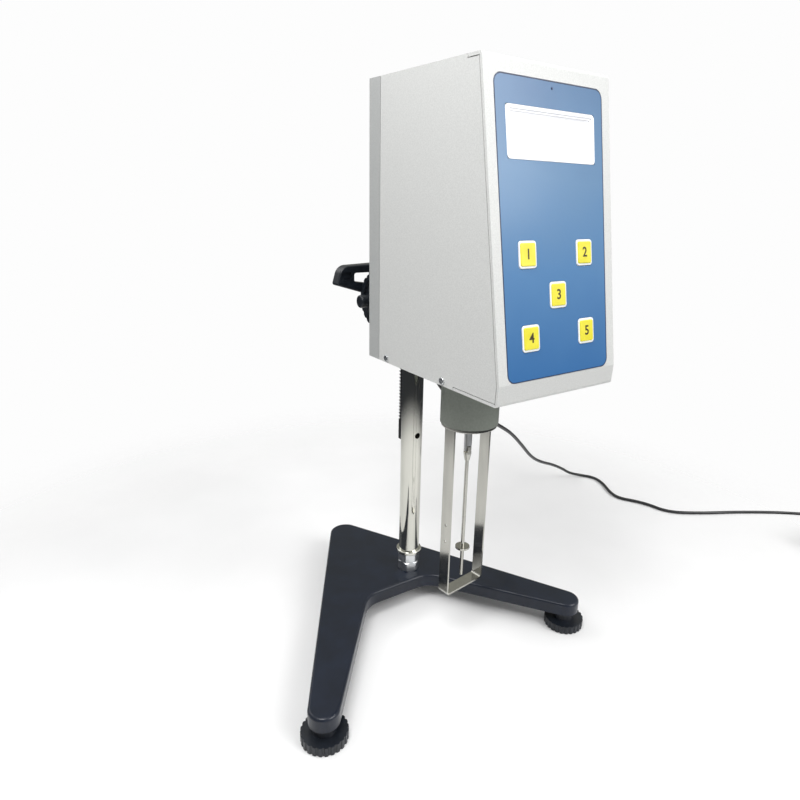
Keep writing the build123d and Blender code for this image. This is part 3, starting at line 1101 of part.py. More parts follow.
def coupling_nut():
    """Lower fork of the joint, with the threaded socket that the spindle screws into."""
    at = (0, SPINDLE_Y)
    around = SOCKET_R + 1
    shoulder = COUPLING_BOTTOM + COUPLING_TAPER
    body = upright(SOCKET_R, shoulder, JOINT_Z - FORK_NECK, at)
    cone = Cone(COUPLING_TIP_R, SOCKET_R, COUPLING_TAPER)
    body += Pos(0, SPINDLE_Y, (COUPLING_BOTTOM + shoulder) / 2) * cone
    ears = upright(SOCKET_R, JOINT_Z - FORK_NECK, JOINT_Z + FORK_END, at)
    ears &= block(-FORK_EAR_HALF, FORK_EAR_HALF, SPINDLE_Y - around, SPINDLE_Y + around, 0, HEAD_TOP)
    ears -= block(-around, around, SPINDLE_Y - FORK_SLOT_HALF, SPINDLE_Y + FORK_SLOT_HALF,
                  JOINT_Z - FORK_NECK, HEAD_TOP)
    body += ears
    body -= along_y(CROSS_PIN_R + RUN, SPINDLE_Y - around, SPINDLE_Y + around, 0, JOINT_Z)
    return body - upright(SPINDLE_THREAD_R, COUPLING_BOTTOM - 1, COUPLING_BOTTOM + SPINDLE_THREAD_L, at)


def spindle():
    at = (0, SPINDLE_Y)
    rod = upright(SPINDLE_ROD_R, SPINDLE_TIP, COUPLING_BOTTOM, at)
    rod += upright(SPINDLE_THREAD_R, COUPLING_BOTTOM, COUPLING_BOTTOM + SPINDLE_THREAD_L, at)
    half = SPINDLE_DISC_T / 2
    rod += upright(SPINDLE_DISC_R, SPINDLE_DISC_Z - half, SPINDLE_DISC_Z + half, at)
    low = SPINDLE_MARK_Z - SPINDLE_MARK_W / 2
    high = SPINDLE_MARK_Z + SPINDLE_MARK_W / 2
    return rod - (upright(SPINDLE_ROD_R + 1, low, high, at)
                  - upright(SPINDLE_ROD_R - SPINDLE_MARK_DEPTH, low - 1, high + 1, at))


# ---------------------------------------------------------------- lead, plug and adaptor
def route_radii(points):
    """For each corner of the route, 0.45 of its shorter run over the tangent of half its turn."""
    radii = []
    for before, at, after in zip(points, points[1:], points[2:]):
        a, b = Vector(*at) - Vector(*before), Vector(*after) - Vector(*at)
        radii.append(0.45 * min(a.length, b.length) / tan(radians(a.get_angle(b) / 2)))
    return radii


def lead_parts():
    """The two stretches of the lead, which meet on the table."""
    radii = route_radii(LEAD_ROUTE)
    print("lead radii", [round(r, 1) for r in radii])
    cut = tuple((p + q) / 2 for p, q in zip(LEAD_ROUTE[LEAD_DROP_COUNT - 1], LEAD_ROUTE[LEAD_DROP_COUNT]))
    stretches = []
    for points, bends in (([*LEAD_ROUTE[:LEAD_DROP_COUNT], cut], radii[:LEAD_DROP_COUNT - 1]),
                          ([cut, *LEAD_ROUTE[LEAD_DROP_COUNT:]], radii[LEAD_DROP_COUNT - 1:])):
        path = FilletPolyline(*points, radius=bends)
        section = Plane(origin=path @ 0, z_dir=path % 0) * Circle(LEAD_R)
        tube = sweep(section, path=path)
        print("lead", round(path.length, 1), "mm, volume over section times length",
              round(tube.volume / (pi * LEAD_R ** 2 * path.length), 4))
        stretches.append(tube)
    return stretches


def coil_centre():
    """The coil lies to the right of the lead's last run, which meets its outer turn as a tangent."""
    (x0, y0, _), (x1, y1, _) = LEAD_ROUTE[-2:]
    run = hypot(x1 - x0, y1 - y0)
    return (x1 + (y1 - y0) / run * COIL_TURN_R, y1 - (x1 - x0) / run * COIL_TURN_R)


def lead_coil():
    """Outer shape of the wound lead, with the end that leaves it for the adaptor."""
    at = coil_centre()
    height = 2 * LEAD_R * COIL_LAYERS
    inner = COIL_TURN_R - 3 * LEAD_R
    coil = upright(COIL_TURN_R + LEAD_R, 0, height, at) - upright(inner, -1, height + 1, at)
    end = along_x(LEAD_R, at[0] - COIL_END, at[0], at[1] - COIL_TURN_R, height - LEAD_R)
    (x, y, z) = LEAD_ROUTE[-1]
    heading = degrees(atan2(y - LEAD_ROUTE[-2][1], x - LEAD_ROUTE[-2][0]))
    before = Box(COIL_CLEAR, COIL_CLEAR / 2, 4 * LEAD_R)
    before = Pos(x, y, z) * Rot(0, 0, heading) * Pos(-COIL_CLEAR / 2, 0, 0) * before
    relief = block(at[0] - COIL_END - RELIEF_L, at[0] - COIL_END, at[1] - 2 * COIL_TURN_R, at[1], 0, HEAD_TOP)
    return coil + end - before - relief


def power_plug():
    """Right-angle plug: barrel in the jack, body in its well, and a tapered arm that the lead leaves."""
    top = HEAD_BOTTOM + JACK_WELL
    body = upright(PLUG_R, HEAD_BOTTOM - PLUG_DROP, top, JACK_AT)
    body = fillet(body.edges().group_by(Axis.Z)[0], PLUG_EDGE_R)
    body += upright(JACK_PIN_R - RUN, top, top + JACK_PIN_DEPTH - FREE, JACK_AT)
    start, towards = Vector(*LEAD_ROUTE[0]), Vector(*LEAD_ROUTE[1]) - Vector(*LEAD_ROUTE[0])
    root = start - towards.normalized() * PLUG_ARM_L
    arm = loft([Plane(origin=root, z_dir=towards) * Circle(PLUG_ARM_R),
                Plane(origin=start, z_dir=towards) * Circle(PLUG_ARM_END_R)])
    return body + arm


def power_adaptor():
    """Plug-in supply that lies beside the coil, prongs up."""
    x, y = coil_centre()
    y -= COIL_TURN_R
    z = 2 * LEAD_R * COIL_LAYERS - LEAD_R
    x1 = x - COIL_END - RELIEF_L
    box = block(x1 - ADAPTOR_L, x1, y - ADAPTOR_W / 2, y + ADAPTOR_W / 2, 0, ADAPTOR_H)
    box = fillet(box.edges(), ADAPTOR_EDGE_R)
    box += Pos(x1 + RELIEF_L / 2, y, z) * Rot(0, 90, 0) * Cone(RELIEF_R, PLUG_ARM_END_R, RELIEF_L)
    box += along_x(RELIEF_R, x1 - ADAPTOR_EDGE_R, x1, y, z)
    middle = x1 - ADAPTOR_L / 2
    for side in (-1, 1):
        at = y + side * PRONG_SPACING / 2
        box += block(middle - PRONG_W / 2, middle + PRONG_W / 2, at - PRONG_T / 2, at + PRONG_T / 2,
                     ADAPTOR_H - 1, ADAPTOR_H + PRONG_L)
    return box


# ---------------------------------------------------------------- write every piece
if __name__ == "__main__":
    save("base_casting", base_casting())
    for side, at in FEET.items():
        save(f"foot_stem_{side}", foot_stem(at))
        save(f"foot_knob_{side}", foot_knob(at))
    for piece in (column, column_cap, column_ring, lock_nuts, rack, rack_screws, lift_block, column_bushes,
                  block_screws, clamp_shoe, rack_pinion, hand_knob, clamp_screw, lever_handle, rear_chassis,
                  cover_shell, front_plate, bottom_plate, side_screws, switch_housing, switch_rocker,
                  membrane_panel, lcd_window, lcd_module, control_board, bubble_level, gear_bracket,
                  shaft_bearings, motor, motor_pinion, drive_gear, drive_shaft, measuring_shaft, lower_disc,
                  torsion_spring, optical_gates, dc_jack, collar, guard_ring, guard_strip, joint_cross,
                  coupling_nut, spindle):
        print(piece.__name__, flush=True)
        save(piece.__name__, piece())
    for number, (x, s) in enumerate(KEYS, 1):
        save(f"key_{number}", key(x, s))
    for name, tube in zip(("lead_drop", "lead_run"), lead_parts()):
        save(name, tube)
    for piece in (power_plug, lead_coil, power_adaptor):
        save(piece.__name__, piece())
    print("coil centre", [round(v, 1) for v in coil_centre()])
    print("centre", round(CENTRE_X, 3), round(CENTRE_Y, 3))
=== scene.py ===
# %% [markdown]
# # A rotational viscometer on its stand
# The instrument has a sheet-steel head with a printed control panel. A thin spindle hangs from the head
# inside a bent guard, and a rack-and-pinion stand carries the head up and down. The solids come from the
# engineering model, which this script loads as a fixed frame. Blender adds what engineering solids leave out:
# finishes, an edge line of painted shade round the panel, numbers, grips and the lead. Everything is measured
# in metres, so lengths given in millimetres pass through one function.

# %% Load the frame and keep the size of its box
from math import atan2, cos, degrees, pi, radians, sin

import bmesh
import bpy
from mathutils import Matrix, Vector


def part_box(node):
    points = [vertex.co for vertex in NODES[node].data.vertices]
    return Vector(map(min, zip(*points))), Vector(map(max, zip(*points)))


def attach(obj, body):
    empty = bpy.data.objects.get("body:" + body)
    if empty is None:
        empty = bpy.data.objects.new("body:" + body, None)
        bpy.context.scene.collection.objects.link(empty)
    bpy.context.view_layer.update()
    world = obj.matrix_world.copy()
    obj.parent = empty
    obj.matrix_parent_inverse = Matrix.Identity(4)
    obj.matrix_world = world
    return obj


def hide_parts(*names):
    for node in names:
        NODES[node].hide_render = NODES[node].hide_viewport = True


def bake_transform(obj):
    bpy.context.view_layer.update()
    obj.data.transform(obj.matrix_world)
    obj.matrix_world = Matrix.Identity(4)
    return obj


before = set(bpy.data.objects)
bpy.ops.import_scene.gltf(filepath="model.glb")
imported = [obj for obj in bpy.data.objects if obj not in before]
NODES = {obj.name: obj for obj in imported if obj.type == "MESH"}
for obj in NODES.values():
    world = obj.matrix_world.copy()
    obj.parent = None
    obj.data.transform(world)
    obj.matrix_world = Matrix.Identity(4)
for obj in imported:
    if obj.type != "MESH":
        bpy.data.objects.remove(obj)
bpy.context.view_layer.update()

# %% [markdown]
# Two reference places make the rest easy to read. The first is the column's axis at table height, from which
# all positions are counted in millimetres. The second is the sloping front of the head, where a place is
# given by how far it lies to the right of the middle and how far down the slope. Both are read from the
# loaded solids, except the front's lean, which is given as a run and a fall.

# %% Places in millimetres
MM = 0.001
column_low, column_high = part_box("column")
COLUMN_X = (column_low.x + column_high.x) / 2
COLUMN_Y = (column_low.y + column_high.y) / 2


def place(x, y, z):
    """A point counted in millimetres from the column's axis and the table."""
    return Vector((COLUMN_X + x * MM, COLUMN_Y + y * MM, z * MM))


front_low, front_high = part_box("front_plate")
SLOPE_RUN = 33.1            # how far the front leans out between its top edge and its chin
SLOPE_FALL = 192.4          # and how far it comes down
SLOPE = atan2(SLOPE_RUN, SLOPE_FALL)
FRONT_TOP = Vector(((front_low.x + front_high.x) / 2, front_low.y + SLOPE_RUN * MM, front_high.z))
FRONT_RIGHT = Vector((1, 0, 0))
FRONT_UP = Vector((0, sin(SLOPE), cos(SLOPE)))
FRONT_OUT = FRONT_RIGHT.cross(FRONT_UP)


def front_matrix(x, s, out):
    """Turns a drawing in the XY plane so that it lies on the head's front, with its Y up the slope."""
    at = FRONT_TOP + FRONT_RIGHT * x * MM - FRONT_UP * s * MM + FRONT_OUT * out * MM
    turn = Matrix((FRONT_RIGHT, FRONT_UP, FRONT_OUT)).transposed().to_4x4()
    return Matrix.Translation(at) @ turn


print("front leans", round(degrees(SLOPE), 2), "degrees")

# %% [markdown]
# The camera stands at eye height to the left of the front, about half a metre away, and looks slightly down.
# That is close for a product picture, which is why the sides converge. The lens is given by its length on a
# 36 mm sensor, and a small shift puts the optical axis a little away from the middle of the picture.

# %% Camera
CAMERA_AT = place(-308.3, -440.8, 385.3)
CAMERA_YAW = radians(35.69)     # to the right of straight ahead
CAMERA_PITCH = radians(17.83)   # down
CAMERA_ROLL = radians(1.57)
LENS_MM = 27.57
AXIS_RIGHT = 19.8 / 800         # where the optical axis lies, as a share of the picture's width
AXIS_UP = 6.6 / 800

camera = bpy.data.objects.new("camera", bpy.data.cameras.new("camera"))
bpy.context.scene.collection.objects.link(camera)
forward = Vector((sin(CAMERA_YAW) * cos(CAMERA_PITCH), cos(CAMERA_YAW) * cos(CAMERA_PITCH),
                  -sin(CAMERA_PITCH)))
level_right = Vector((cos(CAMERA_YAW), -sin(CAMERA_YAW), 0))
level_up = level_right.cross(forward)
right = cos(CAMERA_ROLL) * level_right + sin(CAMERA_ROLL) * level_up
up = -sin(CAMERA_ROLL) * level_right + cos(CAMERA_ROLL) * level_up
camera.matrix_world = Matrix.Translation(CAMERA_AT) @ Matrix((right, up, -forward)).transposed().to_4x4()
camera.data.lens = LENS_MM
camera.data.sensor_width = 36
camera.data.shift_x = -AXIS_RIGHT
camera.data.shift_y = -AXIS_UP
camera.data.clip_start = 0.01
bpy.context.scene.camera = camera
print("camera", [round(v, 3) for v in CAMERA_AT])

# %% [markdown]
# Colours are written as the hex values that a paint chart or a picture editor shows. The renderer works with
# linear light, so one function converts them. A second function adds a shader node: it sets the node's own
# settings, gives its sockets values, and links a socket when the value handed in is another node's output.
# These two keep each material short enough to read as a recipe.

# %% Colour and node helpers
def linear(hex_colour):
    """An sRGB hex value as linear red, green, blue and alpha."""
    parts = [int(hex_colour[i:i + 2], 16) / 255 for i in (1, 3, 5)]
    return [p / 12.92 if p <= 0.04045 else ((p + 0.055) / 1.055) ** 2.4 for p in parts] + [1.0]


def add(tree, kind, inputs=None, **settings):
    """Add a node to a tree, with its settings, its values and its links."""
    made = tree.nodes.new(kind)
    for name, value in settings.items():
        setattr(made, name, value)
    for name, value in (inputs or {}).items():
        socket = made.inputs[name]
        if isinstance(value, bpy.types.NodeSocket):
            tree.links.new(value, socket)
        else:
            socket.default_value = value
    return made


def new_material(name, **sockets):
    """A material with one Principled shader; the sockets given here are the same all over the surface."""
    material = bpy.data.materials.new(name)
    material.use_nodes = True
    tree = material.node_tree
    shader = tree.nodes["Principled BSDF"]
    for socket, value in sockets.items():
        shader.inputs[socket.replace("_", " ")].default_value = value
    return material, tree, shader


def ramp(tree, factor, *stops):
    """A colour ramp; each stop is a position and a hex colour."""
    made = add(tree, "ShaderNodeValToRGB", {"Fac": factor})
    elements = made.color_ramp.elements
    while len(elements) < len(stops):
        elements.new(0.5)
    for element, (position, colour) in zip(elements, stops):
        element.position = position
        element.color = linear(colour)
    return made.outputs["Color"]


def colour(tree, shader, factor, *stops):
    """Let a colour ramp give the surface its colour."""
    tree.links.new(ramp(tree, factor, *stops), shader.inputs["Base Color"])


def surface_noise(tree, grain_mm, detail=2.0, stretch=(1, 1, 1)):
    """Noise whose blotches are about grain_mm across, optionally drawn out along an axis."""
    coords = add(tree, "ShaderNodeTexCoord")
    mapping = add(tree, "ShaderNodeMapping", {"Vector": coords.outputs["Object"], "Scale": stretch})
    made = add(tree, "ShaderNodeTexNoise", {"Vector": mapping.outputs["Vector"],
                                            "Scale": 0.5 / (grain_mm * MM), "Detail": detail})
    return made.outputs["Fac"]


def bump(tree, shader, height, depth_mm, strength=1.0):
    """Raise the surface by height, up to depth_mm."""
    made = add(tree, "ShaderNodeBump", {"Height": height, "Distance": depth_mm * MM, "Strength": strength})
    tree.links.new(made.outputs["Normal"], shader.inputs["Normal"])


def mottled(name, grain_mm, dark, pale, **sockets):
    """A material whose colour drifts between two shades, in blotches of grain_mm."""
    material, tree, shader = new_material(name, **sockets)
    colour(tree, shader, surface_noise(tree, grain_mm), (0.3, dark), (0.7, pale))
    return material, tree, shader


# %% [markdown]
# **Silver satin powder coat.** The head is folded sheet steel. Powder is sprayed on dry and melted in an
# oven, which leaves a satin surface with a faint orange-peel ripple. Fine aluminium flakes in the powder give
# it a light sparkle. Real flakes are under a tenth of a millimetre, too fine to show, so the speckle is drawn
# at 0.4 mm.

# %% Silver satin powder coat
powder_coat, tree, shader = new_material("silver_satin_powder_coat", Roughness=0.42, IOR=1.5)
flakes = surface_noise(tree, 0.4, detail=2.0)
colour(tree, shader, flakes, (0.30, "#CFD0CE"), (0.50, "#D5D6D4"), (0.72, "#DCDDDB"))
bump(tree, shader, surface_noise(tree, 1.0), 0.01, 0.15)

# %% [markdown]
# ** Rear chassis.** The rear half of the head is a separate folded sheet. It is coloured a darker grey than the
# cover, so a darker strip runs down behind the seam on each side.

# %% Grey satin powder coat
rear_coat, tree, shader = new_material("grey_satin_powder_coat", Roughness=0.42, IOR=1.5)
colour(tree, shader, surface_noise(tree, 0.4), (0.30, "#AEB0AF"), (0.72, "#B8BAB9"))
bump(tree, shader, surface_noise(tree, 1.0), 0.01, 0.15)

# %% [markdown]
# ** Grey-green satin paint.** The collar under the head is a turned aluminium ring, sprayed with a slightly
# green machine grey. Its two greys are set darker than that paint, as painted shade for the head's shadow on
# the collar. It is smoother than the powder coat, with a soft sheen along its side.

# %% Grey-green satin paint with painted shade
# both greys are darkened as painted shade for the shadow under the head
collar_paint_and_painted_shade, tree, shader = mottled("grey_green_paint_darkened_as_shade", 0.9, "#80857D", "#888D85",
                                     Roughness=0.38, IOR=1.5)
bump(tree, shader, surface_noise(tree, 1.0), 0.012, 0.3)

# %% [markdown]
# **Black stove enamel on cast iron.** The base is a grey-iron casting, filled, rubbed down and enamelled. The
# enamel is thick and glossy, and it follows the casting's slight waviness, so reflections swim a little. A
# clear coat over a nearly black, slightly blue body gives this depth.

# %% Black stove enamel
enamel, tree, shader = mottled("black_stove_enamel", 9.0, "#0B1320", "#111A2A",
                               Roughness=0.3, IOR=1.38, Coat_Weight=0.14, Coat_Roughness=0.07)
bump(tree, shader, surface_noise(tree, 3.5), 0.05, 0.22)

# %% [markdown]
# **Hard chrome.** The column is a ground steel bar with hard chrome on it. A metal has no colour of its own
# beyond what it reflects, so this is almost pure reflection. Grinding leaves hairlines round the bar, which
# blur the reflections a little along its length.

# %% Hard chrome
chrome, tree, shader = mottled("hard_chrome", 25.0, "#C2C2BA", "#CFCEC6", Metallic=1.0, Roughness=0.07)
bump(tree, shader, surface_noise(tree, 0.9, stretch=(0.15, 0.15, 1.0)), 0.003, 0.25)

# %% [markdown]
# **Polished stainless steel.** The guard is a strip of rolled stainless steel, polished along its length. The
# spindle is turned and polished on a lathe. Stainless is a little warmer and darker than chrome, and its
# polishing lines run along the strip.

# %% Polished stainless steel
stainless, tree, shader = new_material("polished_stainless_steel", Metallic=1.0, Roughness=0.11)
colour(tree, shader, surface_noise(tree, 6.0, stretch=(1, 1, 0.2)), (0.3, "#A9A8A2"), (0.7, "#B9B8B1"))
bump(tree, shader, surface_noise(tree, 0.5, stretch=(1, 1, 0.06)), 0.004, 0.3)

# %% [markdown]
# **Zinc-plated steel.** Bought nuts, screws and the folded bracket inside the head are bright zinc plated: a
# soft silver metal with a slightly cloudy surface.

# %% Zinc-plated steel
zinc, tree, shader = mottled("bright_zinc_plate", 2.5, "#BFC2C4", "#D8DADB", Metallic=1.0, Roughness=0.3)
bump(tree, shader, surface_noise(tree, 0.8), 0.006, 0.3)

# %% [markdown]
# **Blackened steel.** The rack and its screws are steel with a black oxide finish, slightly oily, so it is
# dark with a dull metallic shine.

# %% Blackened steel
black_oxide = mottled("black_oxide_steel", 1.5, "#141415", "#242426",
                      Metallic=0.7, Roughness=0.42)[0]

# %% [markdown]
# **Ground steel and brass.** Shafts, pinion and bearings are plain ground steel. Bushes, gears and the clamp
# shoe are machined brass, with turning marks.

# %% Ground steel and brass
ground_steel, tree, shader = new_material("ground_steel", Metallic=1.0, Roughness=0.28)
colour(tree, shader, surface_noise(tree, 1.2, stretch=(1, 1, 0.2)), (0.3, "#A9AAAB"), (0.7, "#C2C3C4"))
brass, tree, shader = new_material("machined_brass", Metallic=1.0, Roughness=0.26)
colour(tree, shader, surface_noise(tree, 0.9, stretch=(1, 1, 4)), (0.3, "#B8923F"), (0.7, "#D2AE5C"))

# %% [markdown]
# **Moulded black plastic.** Foot knobs, hand knob, clamp lever and plug are moulded in black plastic with a
# fine spark-eroded texture from the mould, drawn here at 0.5 mm.

# %% Moulded black plastic
black_plastic, tree, shader = mottled("moulded_black_plastic", 3.0, "#13171D", "#1B2028",
                                      Roughness=0.38, IOR=1.49)
bump(tree, shader, surface_noise(tree, 0.5, detail=4.0), 0.02, 0.3)

# %% [markdown]
# **Soft PVC sheath.** The lead's sheath is extruded soft PVC. It comes off the drum with faint scuffs and a
# satin shine.

# %% Soft PVC sheath
sheath, tree, shader = mottled("soft_black_pvc", 5.0, "#0C0D0F", "#17181B", Roughness=0.36, IOR=1.53)
bump(tree, shader, surface_noise(tree, 0.9), 0.01, 0.3)

# %% [markdown]
# ** Printed polyester film.** The control panel is clear film, printed in blue on its back, so the ink is seen
# through a thin gloss layer. The colour fades from a paler, slightly violet blue at the top to a stronger
# blue at the bottom. This fade is partly the print's own and partly painted reflection, which makes the band
# just below the display the palest. Object coordinates hold real heights, so the fade is fixed to the head,
# and a large soft noise adds painted reflections: the cloudy ones of a film that isn't quite flat.

# %% Blue film
film, tree, shader = new_material("blue_film_print_and_painted_reflections", Roughness=0.3, IOR=1.5, Coat_Weight=0.15,
                                  Coat_Roughness=0.15)
panel_low, panel_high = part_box("membrane_panel")
coords = add(tree, "ShaderNodeTexCoord")
height = add(tree, "ShaderNodeSeparateXYZ", {"Vector": coords.outputs["Object"]})
fade = add(tree, "ShaderNodeMapRange", {"Value": height.outputs["Z"], "From Min": panel_low.z,
                                        "From Max": panel_high.z})
# clouds of painted reflection, put into the colour, shift the fade
REFLECTION_CLOUD_DEPTH = 0.28              # how far the clouds shift the fade, in all
painted_reflection_clouds = add(tree, "ShaderNodeMath", {0: surface_noise(tree, 22.0), 1: REFLECTION_CLOUD_DEPTH, 2: -REFLECTION_CLOUD_DEPTH / 2},
             operation="MULTIPLY_ADD")
fade_with_painted_reflections = add(tree, "ShaderNodeMath", {0: fade.outputs["Result"], 1: painted_reflection_clouds.outputs["Value"]},
                  operation="ADD")
# the print's fade, with a pale band of painted reflection just below the display
colour(tree, shader, fade_with_painted_reflections.outputs["Value"], (0.0, "#336AA2"), (0.35, "#4579AA"), (0.7, "#557FA6"),
       (1.0, "#3F6993"))
bump(tree, shader, surface_noise(tree, 12.0), 0.05, 0.2)

# %% [markdown]
# **Inks and small plastics.** The keys are yellow film with a white surround, and their numbers are dark
# brown ink. The display's frame is white acrylic, and the resting display is a pale, nearly white field.

# %% Inks, keys and display
key_yellow = mottled("yellow_key_film", 5.0, "#E6DB2F", "#F1E745", Roughness=0.32, IOR=1.58)[0]
key_white = mottled("white_key_surround", 6.0, "#EDF2F6", "#F8FAFB", Roughness=0.3, IOR=1.58)[0]
number_ink = mottled("dark_brown_screen_ink", 0.6, "#33260A", "#42320F", Roughness=0.5, IOR=1.5)[0]
# navy ink for the status lamp; on the panel's edge line it is painted shade for the recess's shadow
navy_ink_and_edge_shade = mottled("navy_ink_and_painted_edge_shade", 2.0, "#1D2C4C", "#2A3B60", Roughness=0.4, IOR=1.5)[0]
display_frame = mottled("white_acrylic", 8.0, "#F1F2F8", "#F8F9FC", Roughness=0.22, IOR=1.49)[0]
display_field = mottled("resting_display", 14.0, "#F2F5F3", "#FAFBFA", Roughness=0.18, IOR=1.52)[0]
circuit, tree, shader = new_material("green_circuit_board", Roughness=0.45, IOR=1.55)
colour(tree, shader, surface_noise(tree, 1.5), (0.4, "#14502B"), (0.6, "#1E6A3A"))
tinted_spirit = mottled("tinted_spirit", 6.0, "#B9CC3A", "#CBDD52", Roughness=0.08, IOR=1.36)[0]
block_paint, tree, shader = mottled("dark_grey_hammer_paint", 1.6, "#3A3C3F", "#4B4E51",
                                    Roughness=0.45, IOR=1.5)
bump(tree, shader, surface_noise(tree, 1.8), 0.06, 0.5)

# %% [markdown]
# Every solid of the engineering model is a separate piece, and each one gets the finish that its real
# counterpart has. A table from finish to pieces keeps this in one place. The meshes themselves stay as they
# are.

# %% Finishes of the solids
FINISHES = {
    enamel: ["base_casting"],
    black_plastic: ["foot_knob_left", "foot_knob_right", "foot_knob_rear", "hand_knob", "lever_handle",
                    "switch_housing", "switch_rocker", "dc_jack", "power_plug", "power_adaptor",
                    "optical_gates"],
    zinc: ["foot_stem_left", "foot_stem_right", "foot_stem_rear", "lock_nuts", "side_screws", "gear_bracket"],
    chrome: ["column", "column_ring", "column_cap"],
    black_oxide: ["rack", "rack_screws", "block_screws"],
    ground_steel: ["rack_pinion", "clamp_screw", "shaft_bearings", "measuring_shaft", "drive_shaft",
                   "torsion_spring", "motor"],
    block_paint: ["lift_block"],
    brass: ["column_bushes", "clamp_shoe", "drive_gear", "motor_pinion"],
    powder_coat: ["cover_shell", "front_plate", "bottom_plate"],
    rear_coat: ["rear_chassis"],
    film: ["membrane_panel"],
    display_frame: ["lcd_window"],
    circuit: ["lcd_module", "control_board"],
    tinted_spirit: ["bubble_level"],
    key_white: ["key_1", "key_2", "key_3", "key_4", "key_5"],
    collar_paint_and_painted_shade: ["collar"],
    stainless: ["guard_ring", "guard_strip", "joint_cross", "coupling_nut", "spindle", "lower_disc"],
    sheath: ["lead_drop", "lead_run", "lead_coil"],
}
for finish, names in FINISHES.items():
    for name in names:
        NODES[name].data.materials.clear()
        NODES[name].data.materials.append(finish)
print("without a finish:", sorted(set(NODES) - {n for names in FINISHES.values() for n in names}))

# %% [markdown]
# The round level is one piece of the model but two materials: a black cup, and the vial of tinted spirit in
# it. The vial is what lies within the cup's bore, so the distance of each face from the middle tells which is
# which.

# %% Level: cup and vial
level_mesh = NODES["bubble_level"].data
level_mesh.materials.append(black_plastic)
low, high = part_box("bubble_level")
level_middle = (low + high) / 2
VIAL_RADIUS = 6.9
for face in level_mesh.polygons:
    away = (face.center - level_middle).to_2d().length
    face.material_index = 0 if away < VIAL_RADIUS * MM else 1
vial_faces = sum(face.material_index == 0 for face in level_mesh.polygons)
print("vial faces", vial_faces, "of", len(level_mesh.polygons))

# %% [markdown]
# **The lead.** It is a 3.8 mm round lead, soft but springy. It leaves a right-angle plug under the head,
# swings out behind the collar and down to the table, wanders over it, and ends in a coil beside its adaptor.
# A NURBS spline of third order turns a handful of points into one smooth curve with no corners. The points of
# the hanging and lying stretch are listed one by one, because a lead lies as it happens to lie, while a coil
# follows a rule and is worked out.

# %% The lead's route
LEAD_RADIUS = 1.9
LEAD_ROUTE = [
    (-24.3, -50.0, 251.9), (-13.9, -44.7, 249.4), (-5.5, -41.0, 241.5), (2.0, -37.5, 229.5),
    (20.0, -32.0, 213.5), (58.0, -24.0, 190.0), (103.5, -8.0, 163.0), (138.0, 8.0, 142.0),
    (172.4, 25.0, 115.4), (212.7, 45.0, 82.0), (248.0, 60.0, 61.0), (290.0, 77.0, 41.0),
    (326.0, 88.0, 21.0), (345.0, 92.0, 8.5), (364.5, 88.0, LEAD_RADIUS), (376.0, 72.0, LEAD_RADIUS),
    (372.0, 52.0, LEAD_RADIUS), (357.0, 28.0, LEAD_RADIUS), (353.0, 10.0, LEAD_RADIUS),
    (364.0, -6.0, LEAD_RADIUS), (372.0, -24.0, LEAD_RADIUS), (374.0, -42.0, LEAD_RADIUS),
    (383.0, -56.0, LEAD_RADIUS), (399.0, -68.0, LEAD_RADIUS), (421.0, -82.0, LEAD_RADIUS),
    (455.0, -101.0, LEAD_RADIUS), (496.0, -128.0, LEAD_RADIUS), (523.0, -150.0, LEAD_RADIUS),
    (543.2, -168.6, LEAD_RADIUS),
]
COIL_OUTER = 22.9               # radius of the outer turns; the inner ones lie a diameter further in
COIL_STEPS = 16                 # points for each turn
COIL_EXIT = -90.0               # direction from the coil's middle in which the lead leaves it
COIL_TURNS = 5                  # whole turns, before the part turn that brings the lead round to its exit
TURN_COLUMNS = [0, 1, 1, 0, 1, 0]   # for each turn, 0 is out and 1 is in
TURN_LAYERS = [0, 0, 1, 1, 2, 2]    # and how many layers it lies up
TURN_CHANGE = 0.25              # part of a turn in which it moves over to the next one's place
COIL_END = 14.0                 # straight end that leaves the coil for the adaptor

(x0, y0, _), (x1, y1, _) = LEAD_ROUTE[-2:]
heading = atan2(y1 - y0, x1 - x0)
coil_x = x1 + sin(heading) * COIL_OUTER
coil_y = y1 - cos(heading) * COIL_OUTER
start_angle = heading + pi / 2
sweep = start_angle - radians(COIL_EXIT) + 2 * pi * COIL_TURNS


def coil_level(turned):
    """Radius and height after an angle; in its last part a turn moves over to the place of the next one."""
    turn = turned / (2 * pi)
    k = min(int(turn), len(TURN_COLUMNS) - 2)
    share = min(max((turn - k - (1 - TURN_CHANGE)) / TURN_CHANGE, 0.0), 1.0)
    share = share * share * (3 - 2 * share)
    inwards = TURN_COLUMNS[k] + (TURN_COLUMNS[k + 1] - TURN_COLUMNS[k]) * share
    layer = TURN_LAYERS[k] + (TURN_LAYERS[k + 1] - TURN_LAYERS[k]) * share
    return COIL_OUTER - 2 * LEAD_RADIUS * inwards, LEAD_RADIUS + 2 * LEAD_RADIUS * layer


coil_points = []
steps = int(sweep / (2 * pi) * COIL_STEPS)
for i in range(1, steps + 1):
    turned = sweep * i / steps
    radius, z = coil_level(turned)
    a = start_angle - turned
    coil_points.append((coil_x + radius * cos(a), coil_y + radius * sin(a), z))
coil_points.append((coil_x - COIL_END, coil_y - COIL_OUTER, coil_points[-1][2]))
print("coil of", round(sweep / (2 * pi), 2), "turns, centre", round(coil_x, 1), round(coil_y, 1))

# %% [markdown]
# A curve object can carry a round bevel, but here the lead is a mesh. The spline gives the line, and a tube
# is built round it, one ring of points for each point of the line. Each ring's direction is carried on from
# the ring before, which keeps the tube from twisting.

